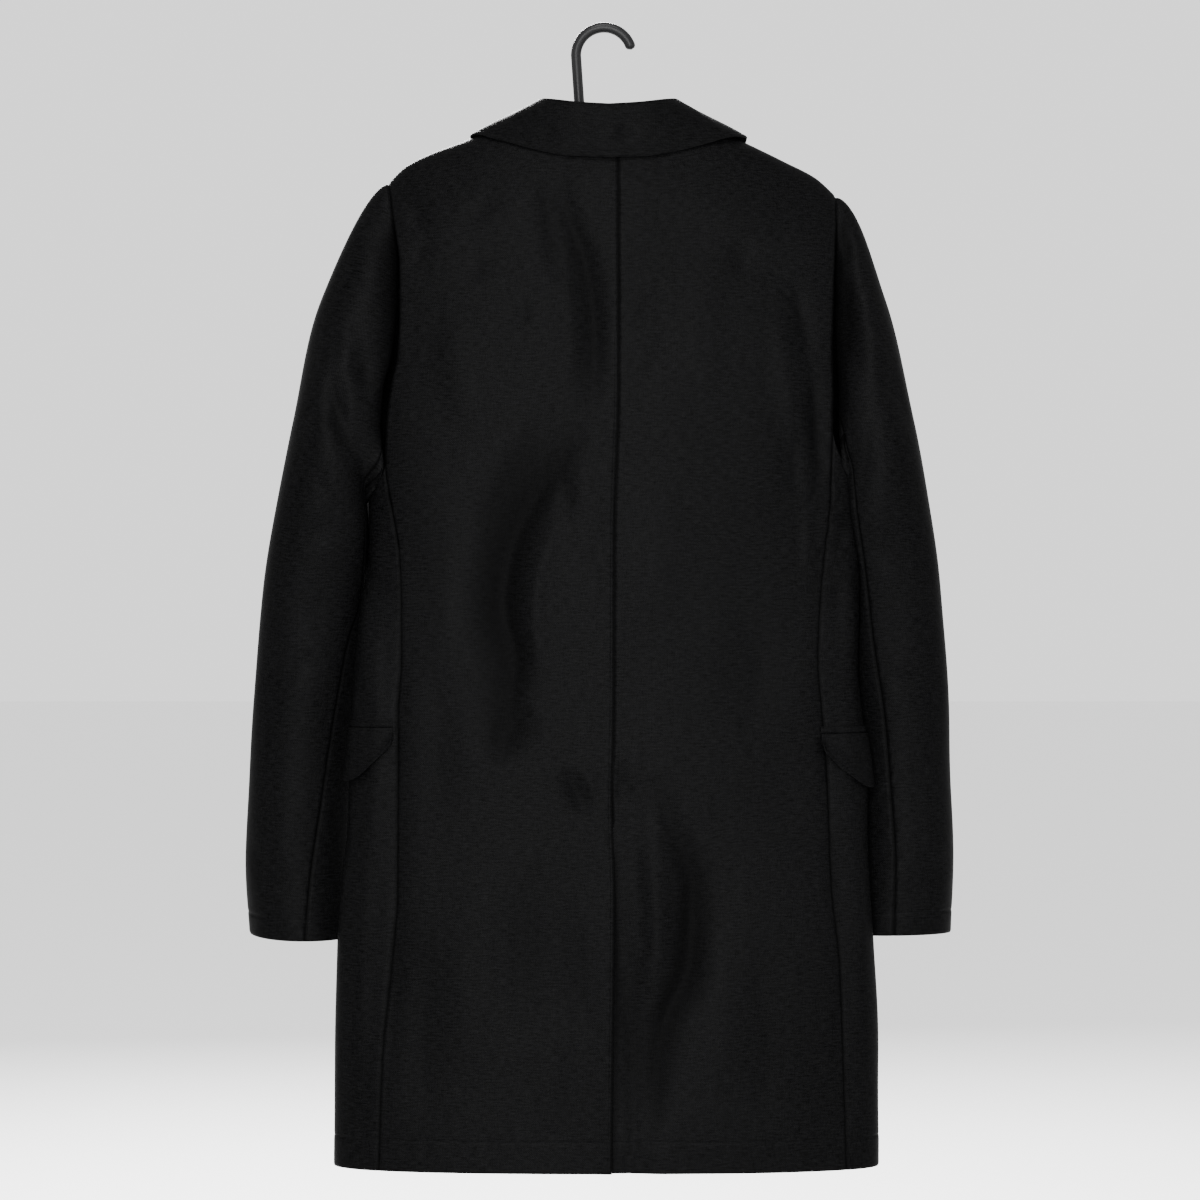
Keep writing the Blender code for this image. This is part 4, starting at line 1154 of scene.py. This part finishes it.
# Collar, from its centre back round to the front: neck seam, fold line and fall edge
collarForm = {
    "station": [0, 1, 2, 3, 4, 5, 6, 7],
    "seamAcross": [0, 30, 55, 63, 63, 60, 56, 51],
    "seamBack": [35, 29, 17, 2, -12, -24, -34, -41],
    "seamHeight": [-95, -91, -81, -73, -76, -88, -104, -116],
    "foldAcross": [0, 27, 50, 61, 61, 61, 60, 60],
    "foldBack": [41, 38, 27, 8, -12, -28, -41, -48],
    "foldHeight": [-68, -66, -62, -59.5, -62, -76, -96, -112],
    "edgeAcross": [0, 35, 68, 106, 122, 119, 112, 100],
    "edgeBack": [44, 43, 37, 20, -2, -22, -38, -45],
    "edgeHeight": [-116, -114, -107, -95, -92, -104, -118, -130],
}
collarFacts = {"stations": 7, "clearance": 3.2, "fold": 0.4, "bend": 0.14, "belly": 3.5, "lean": 2.2}
collarFolds = [
    ([(-21, -84), (-17, -94), (-12, -105)], 2.6, 4.5, 1.6),
    ([(-10, -86), (-6, -98)], 4, 4, -0.6),
    ([(-61, -86), (-65, -95), (-69, -103)], 2.6, 3.4, 1.0),
    ([(-75, -88), (-79, -96), (-81, -101)], 2.4, 3.4, 0.9),
    ([(-92, -90), (-90, -98)], 2.6, 3.2, 0.8),
    ([(46, -84), (50, -94), (52, -104)], 5, 6, 0.8),
    ([(84, -86), (92, -92), (104, -96)], 4, 5, 0.7),
]


def clearOfShoulders(points):
    # Lifts the collar's points off the shoulders
    x, y, height = points[..., 0], points[..., 1], points[..., 2]
    n, clearance = coat["roundness"], collarFacts["clearance"]
    share = np.clip(np.abs(x) / halfWidth(x, height), 0, 1)
    reach = (1 - share**n) ** (1 / n)
    depth = halfDepth(y, height) * reach + clearance
    axis = shoulder(x) - coat["shoulderFall"]
    above = np.maximum(height - axis, 0) / (coat["shoulderFall"] + clearance)
    size = np.sqrt((y / depth) ** 2 + above**2)
    push = np.where(size < 1, 1 / size, 1)
    raised = np.where(height > axis, axis + (height - axis) * push, height)
    return np.stack([x, y * push, raised], axis=-1)


def collarSurface(across, down):
    # Across runs from the right front end round the neck to the left, down from seam to edge
    station = (across - 0.5) * 2 * collarFacts["stations"]
    side = np.sign(station)
    station = np.clip(np.abs(station), 0, collarFacts["stations"])

    def place(part):
        x, y, z = (at(collarForm, part + way, station) for way in ("Across", "Back", "Height"))
        return np.stack([coat["neckCentre"] + side * x, y, z], axis=-1)

    seam, fold, edge = place("seam"), place("fold"), place("edge")
    edge = clearOfShoulders(edge)
    foldDown, bendSize = collarFacts["fold"], collarFacts["bend"]
    bend = ease(down, foldDown - bendSize, foldDown + bendSize)[..., None]
    standShare = np.clip(down / foldDown, 0, 1)[..., None]
    fallShare = np.clip((down - foldDown) / (1 - foldDown), 0, 1)[..., None]
    stand = seam + (fold - seam) * standShare
    fall = fold + (edge - fold) * fallShare
    outward = edge - seam
    outward[..., 2] = 0
    outward /= np.linalg.norm(outward, axis=-1, keepdims=True)
    belly = collarFacts["belly"] * np.sin(np.pi * fallShare) - collarFacts["lean"] * (1 - bend)
    point = np.where(down[..., None] < foldDown, stand, fall) + outward * belly
    cleared = clearOfShoulders(point)
    return point + (cleared - point) * ease(down, foldDown, foldDown + 0.2)[..., None]


def collarRelief(base, away, across, down):
    wave = 0.5 * np.sin(away["start"] / 19) * ease(down, 0.5, 1)
    return stitchLine(away["bottom"], 5, 0.35) + wave


collarLook = {
    "node": "collar",
    "facing": 1,
    "columns": spread(560, 3.0, [(0, 1.5, 0.9), (560, 1.5, 0.9)]),
    "rows": spread(88, 1.7, [(35, 9, 0.9), (88, 6, 0.7)]),
    "seams": (),
    "backFolds": collarFolds,
    "frontFolds": [],
    "folded": lambda across, down: ease(down, 0.48, 0.58),
    "relief": collarRelief,
    "material": trimWool,
    "restsOn": ["back_left", "back_right", "front_left", "front_right"],
    "flat": (0.56, 0.1),
}
clothPiece("collarFold", collarSurface, collarLook)
print("collar made")

# Lapels
lapelFacts = {"width": 80.0, "gorge": (-114.5, -150.0), "end": coat["lapelBreak"] + 14, "foot": 4.0}


def lapelSurface(side):
    def surface(across, down):
        gorge = lapelFacts["gorge"]
        top = gorge[0] + (gorge[1] - gorge[0]) * across
        height = top + (lapelFacts["end"] - top) * down
        foot = lapelFacts["foot"]
        width = foot + (lapelFacts["width"] - foot) * (1 - np.clip(down, 0, 1) ** 1.7)
        x = rollX(side, height) + side * width * across
        inset = overlapInset(x, height) if side < 0 else noInset(x, height)
        return onBody(x, height, True, inset - coat["lapelLayer"])

    return surface


def lapelRelief(base, away, across, down):
    belly = 0.8 * np.sin(np.pi * np.clip(across, 0, 1)) * (1 - down)
    return stitchLine(away["end"], 5, 0.3) - belly


lapelLook = {
    "columns": spread(80, 2.4, [(0, 1, 0.8), (80, 6, 0.8)]),
    "rows": spread(285, 2.6, [(0, 1, 0.8)]),
    "seams": ("top",),
    "backFolds": [],
    "frontFolds": [],
    "relief": lapelRelief,
    "material": trimWool,
    "flat": (0.085, 0.3),
}
for side, label in sides:
    look = {**lapelLook, "node": "lapel_" + label, "facing": -side, "restsOn": ["front_" + label]}
    clothPiece("lapelTurn_" + label, lapelSurface(side), look)
print("lapels made")

# Pocket flaps and the jetting above them
pocketFacts = {
    "rearAngle": 50.5,
    "frontAngle": 150.0,
    "top": {1: -610.0, -1: -615.0},
    "depth": 47.0,
    "standOff": 5.0,
    "welt": 6.0,
    "corner": 0.24,
}


def pocketAngle(across):
    return pocketFacts["rearAngle"] + (pocketFacts["frontAngle"] - pocketFacts["rearAngle"]) * across


def flapSurface(side):
    def surface(across, down):
        corner = pocketFacts["corner"]
        rear = np.clip(1 - across / corner, 0, 1)
        front = np.clip(1 - (1 - across) / (corner / 3), 0, 1)
        depth = pocketFacts["depth"] * np.sqrt(1 - 0.96 * np.maximum(rear, front) ** 2)
        out = coat["layer"] + pocketFacts["standOff"] * down**2 * (1 - 0.6 * ease(across, 0.2, 0.6))
        return bodyPoint(side * pocketAngle(across), pocketFacts["top"][side] - depth * down, 1.0, -out)

    return surface


def weltSurface(side):
    def surface(across, down):
        height = pocketFacts["top"][side] + coat["gap"] + pocketFacts["welt"] * (1 - down)
        return bodyPoint(side * pocketAngle(across), height + 0 * across, 1.0, 1.2 - coat["layer"])

    return surface


def flapRelief(base, away, across, down):
    nearest = np.minimum(np.minimum(away["bottom"], away["start"] + 2), away["end"] + 2)
    return stitchLine(nearest, 5, 0.3)


flapLook = {
    "columns": spread(185, 2.4, [(0, 14, 0.9), (185, 6, 0.9)]),
    "rows": spread(47, 2.0, [(0, 1, 0.8), (47, 6, 0.8)]),
    "seams": (),
    "relief": flapRelief,
    "material": trimWool,
    "flat": (0.19, 0.048),
}
weltLook = {
    **flapLook,
    "rows": spread(6, 0.8),
    "relief": lambda base, away, across, down: -0.5 * np.sin(np.pi * down),
    "flat": (0.19, 0.012),
}
for side, label in sides:
    places = {"facing": side, "restsOn": ["front_" + label, "side_" + label]}
    clothPiece("pocketFlap_" + label, flapSurface(side), {**flapLook, **places, "node": "flap_" + label})
    clothPiece("pocketWelt_" + label, weltSurface(side), {**weltLook, **places, "node": "welt_" + label})
print("pockets made")

# Buttons: a dished disc with four holes
buttonFacts = {"radius": 11.5, "thick": 4.0, "heights": (-432.0, -552.0, -672.0), "hole": 1.1, "holeAt": 2.4}
hornLook = {
    "grain": (60, 60, 260),
    "dark": (0.0015, 0.0013, 0.0012),
    "light": (0.009, 0.0072, 0.0055),
    "roughness": (0.28, 0.42),
    "specular": 0.12,
}
buttonHorn = hardMaterial("dark horn", hornLook)


def solidOf(name, rings, material):
    # A body of rings of points in millimetres, each ring the same length
    rings = np.array(rings)
    count, around = rings.shape[:2]
    index = np.arange(count * around).reshape(count, around)
    ahead = np.roll(index, -1, axis=1)
    faces = np.stack([index[:-1], ahead[:-1], ahead[1:], index[1:]], axis=-1).reshape(-1, 4).tolist()
    faces += [index[0][::-1].tolist(), index[-1].tolist()]
    return finished(name, meshOf(name, rings.reshape(-1, 3), faces), material, 50)


def buttonHoles(x, z):
    # How far the four holes sink the dish
    depth, soft = 1.9, 0.3
    hole, spot = buttonFacts["hole"], buttonFacts["holeAt"]
    sunk = np.zeros(len(x))
    for holeX, holeZ in ((-spot, -spot), (-spot, spot), (spot, -spot), (spot, spot)):
        sunk += depth * (1 - ease(np.hypot(x - holeX, z - holeZ), hole - soft, hole + soft))
    return sunk


# From the middle of its back round the rim to the dish, as (radius, height)
radius, thick = buttonFacts["radius"], buttonFacts["thick"]
dish, middle = thick - 1.3, 0.05
buttonProfile = [(middle, 0), (radius - 3, 0), (radius - 0.7, 0.9), (radius, 1.8), (radius, thick - 1)]
buttonProfile += [(radius - 0.5, thick - 0.2), (radius - 1.4, thick), (radius - 2.5, thick - 0.3)]
buttonProfile += [(radius - 3.6, thick - 1.0), (radius - 4.6, dish)]
buttonProfile += [(r, dish) for r in np.arange(radius - 5.2, 0.2, -0.4)] + [(middle, dish)]
turns = np.linspace(0, 2 * math.pi, 65)[:-1]
for number, height in enumerate(buttonFacts["heights"], start=1):
    seat = onBody(np.array(coat["neckCentre"]), np.array(height), True)
    rings = []
    for r, lift in buttonProfile:
        x, z = r * np.cos(turns), r * np.sin(turns)
        out = float(seat[1]) - coat["gap"] - lift + (buttonHoles(x, z) if lift > thick / 2 else 0 * x)
        rings.append(np.stack([coat["neckCentre"] + x, out, height + z], axis=-1))
    button = solidOf("coatButton_%d" % number, rings, buttonHorn)
    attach(button, "root")
    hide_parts("button_%d" % number)
print("buttons made")

# The moulded hanger: a round hook on sloping arms
hangerFacts = {
    "wire": 4.5,
    "radius": 24.6,
    "endTurn": 12.0,
    "stemFoot": 20.0,
    "halfWidth": 8.0,
    "halfHeight": 11.0,
    "topLimit": -77.0,
    "clearance": 1.5,
    "ends": (-186.0, 172.0),
    "tipRound": 4.0,
    "endRound": 9.0,
    "flare": 0.35,
    "flares": (62.0, 78.0),
    "groove": 0.16,
}
plasticLook = {
    "grain": (60, 60, 25),
    "dark": (0.0018, 0.0018, 0.0019),
    "light": (0.0048, 0.0048, 0.0050),
    "roughness": (0.3, 0.5),
    "specular": 0.06,
    "skin": 900.0,
    "bump": 0.12,
    "skinDepth": 0.0003,
}
hangerPlastic = hardMaterial("moulded plastic", plasticLook)


def roundedEnd(gone, reach):
    return math.sqrt(1 - (1 - min(1, gone / reach)) ** 2)


bend, foot = hangerFacts["radius"], hangerFacts["topLimit"] - hangerFacts["halfHeight"]
centre = hangerFacts["wire"] - bend
turns = np.radians(np.linspace(180 - hangerFacts["endTurn"], 0, 60))
route = [(bend * math.cos(t), centre + bend * math.sin(t)) for t in turns]
for t in np.linspace(0, 1, 25)[1:]:
    route.append((bend + (hangerFacts["stemFoot"] - bend) * t, centre + (foot - centre) * t))
route = np.array(route)
ways = np.gradient(route, axis=0)
ways /= np.linalg.norm(ways, axis=1, keepdims=True)
tipRun = np.concatenate([[0], np.cumsum(np.linalg.norm(np.diff(route, axis=0), axis=1))])
rings = []
around = np.linspace(0, 2 * math.pi, 33)[:-1]
cosine, sine = np.cos(around), np.sin(around)
for (x, z), (wayX, wayZ), gone in zip(route, ways, tipRun):
    flare = 1 + hangerFacts["flare"] * float(ease(-z, *hangerFacts["flares"]))
    size = hangerFacts["wire"] * max(0.06, roundedEnd(gone, hangerFacts["tipRound"])) * flare
    rings.append(np.stack([x - wayZ * size * cosine, size * sine, z + wayX * size * cosine], axis=-1))
hook = solidOf("hangerHook", rings, hangerPlastic)
low, high = hangerFacts["ends"]
rings = []
for x in np.linspace(low, high, 150):
    fromEnd = min(x - low, high - x)
    size = roundedEnd(fromEnd + 0.2, hangerFacts["endRound"])
    under = float(shoulder(np.array(x))) - coat["cloth"] - hangerFacts["clearance"]
    top = min(under, hangerFacts["topLimit"])
    middle = top - hangerFacts["halfHeight"]
    # A shallow channel runs along both faces, as on a moulded arm
    groove = 1 - hangerFacts["groove"] * hump(cosine, 0.35) * float(ease(fromEnd, 12, 30))
    y, z = hangerFacts["halfWidth"] * size * sine * groove, middle + hangerFacts["halfHeight"] * size * cosine
    rings.append(np.stack([np.full(len(around), x), y, z], axis=-1))
arms = solidOf("hangerArms", rings, hangerPlastic)
for piece in (hook, arms):
    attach(piece, "root")
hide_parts("hanger")
print("hanger made")

# Floor, light and camera
material, tree, shader = newMaterial("pale floor")
shader.inputs["Base Color"].default_value = (0.9, 0.9, 0.9, 1)
shader.inputs["Roughness"].default_value = 0.9
reach, level = 30000.0, -1500.0
corners = [(-reach, -reach, level), (reach, -reach, level), (reach, reach, level), (-reach, reach, level)]
data = meshOf("floor", np.array(corners), [(0, 1, 2, 3)])
data.materials.append(material)
floor = placed("floor", data)

world = bpy.data.worlds.new("studio")
world.use_nodes = True
world.node_tree.nodes["Background"].inputs["Color"].default_value = (1.0, 1.0, 1.0, 1)
world.node_tree.nodes["Background"].inputs["Strength"].default_value = 1.5
bpy.context.scene.world = world

softBoxes = {
    "backKey": {"place": (0.3, 3.5, -0.1), "wide": 1.0, "tall": 2.2, "power": 420.0},
    "overhead": {"place": (0.1, 1.5, 2.0), "wide": 1.2, "tall": 1.2, "power": 150.0},
    "backFill": {"place": (-1.9, 2.6, -0.2), "wide": 1.0, "tall": 1.4, "power": 50.0},
    "frontKey": {"place": (0.4, -3.2, 1.3), "wide": 1.4, "tall": 1.0, "power": 480.0},
    "left": {"place": (2.9, 0.2, 0.6), "wide": 1.0, "tall": 1.0, "power": 30.0},
    "right": {"place": (-2.9, 0.2, 0.6), "wide": 1.0, "tall": 1.0, "power": 30.0},
}
coatMiddle = np.array([0.0, 0.0, -0.5])
for name, box in softBoxes.items():
    light = bpy.data.lights.new(name, "AREA")
    light.shape = "RECTANGLE"
    light.size = box["wide"]
    light.size_y = box["tall"]
    light.energy = box["power"]
    lamp = placed(name, light)
    lamp.location = box["place"]
    way = coatMiddle - np.array(box["place"])
    flat = math.hypot(way[0], way[1])
    lamp.rotation_euler = (math.atan2(flat, -way[2]), 0, math.atan2(way[1], way[0]) - math.pi / 2)

shot = {"lens": 100.0, "sensor": 36.0, "place": (0.0035, 2.93, -0.4987)}
camera = bpy.data.cameras.new("photo view")
camera.lens = shot["lens"]
camera.sensor_width = shot["sensor"]
cameraObject = placed("photo view", camera)
cameraObject.location = shot["place"]
cameraObject.rotation_euler = (math.radians(90), 0, math.radians(180))
bpy.context.scene.camera = cameraObject
print("stage made")
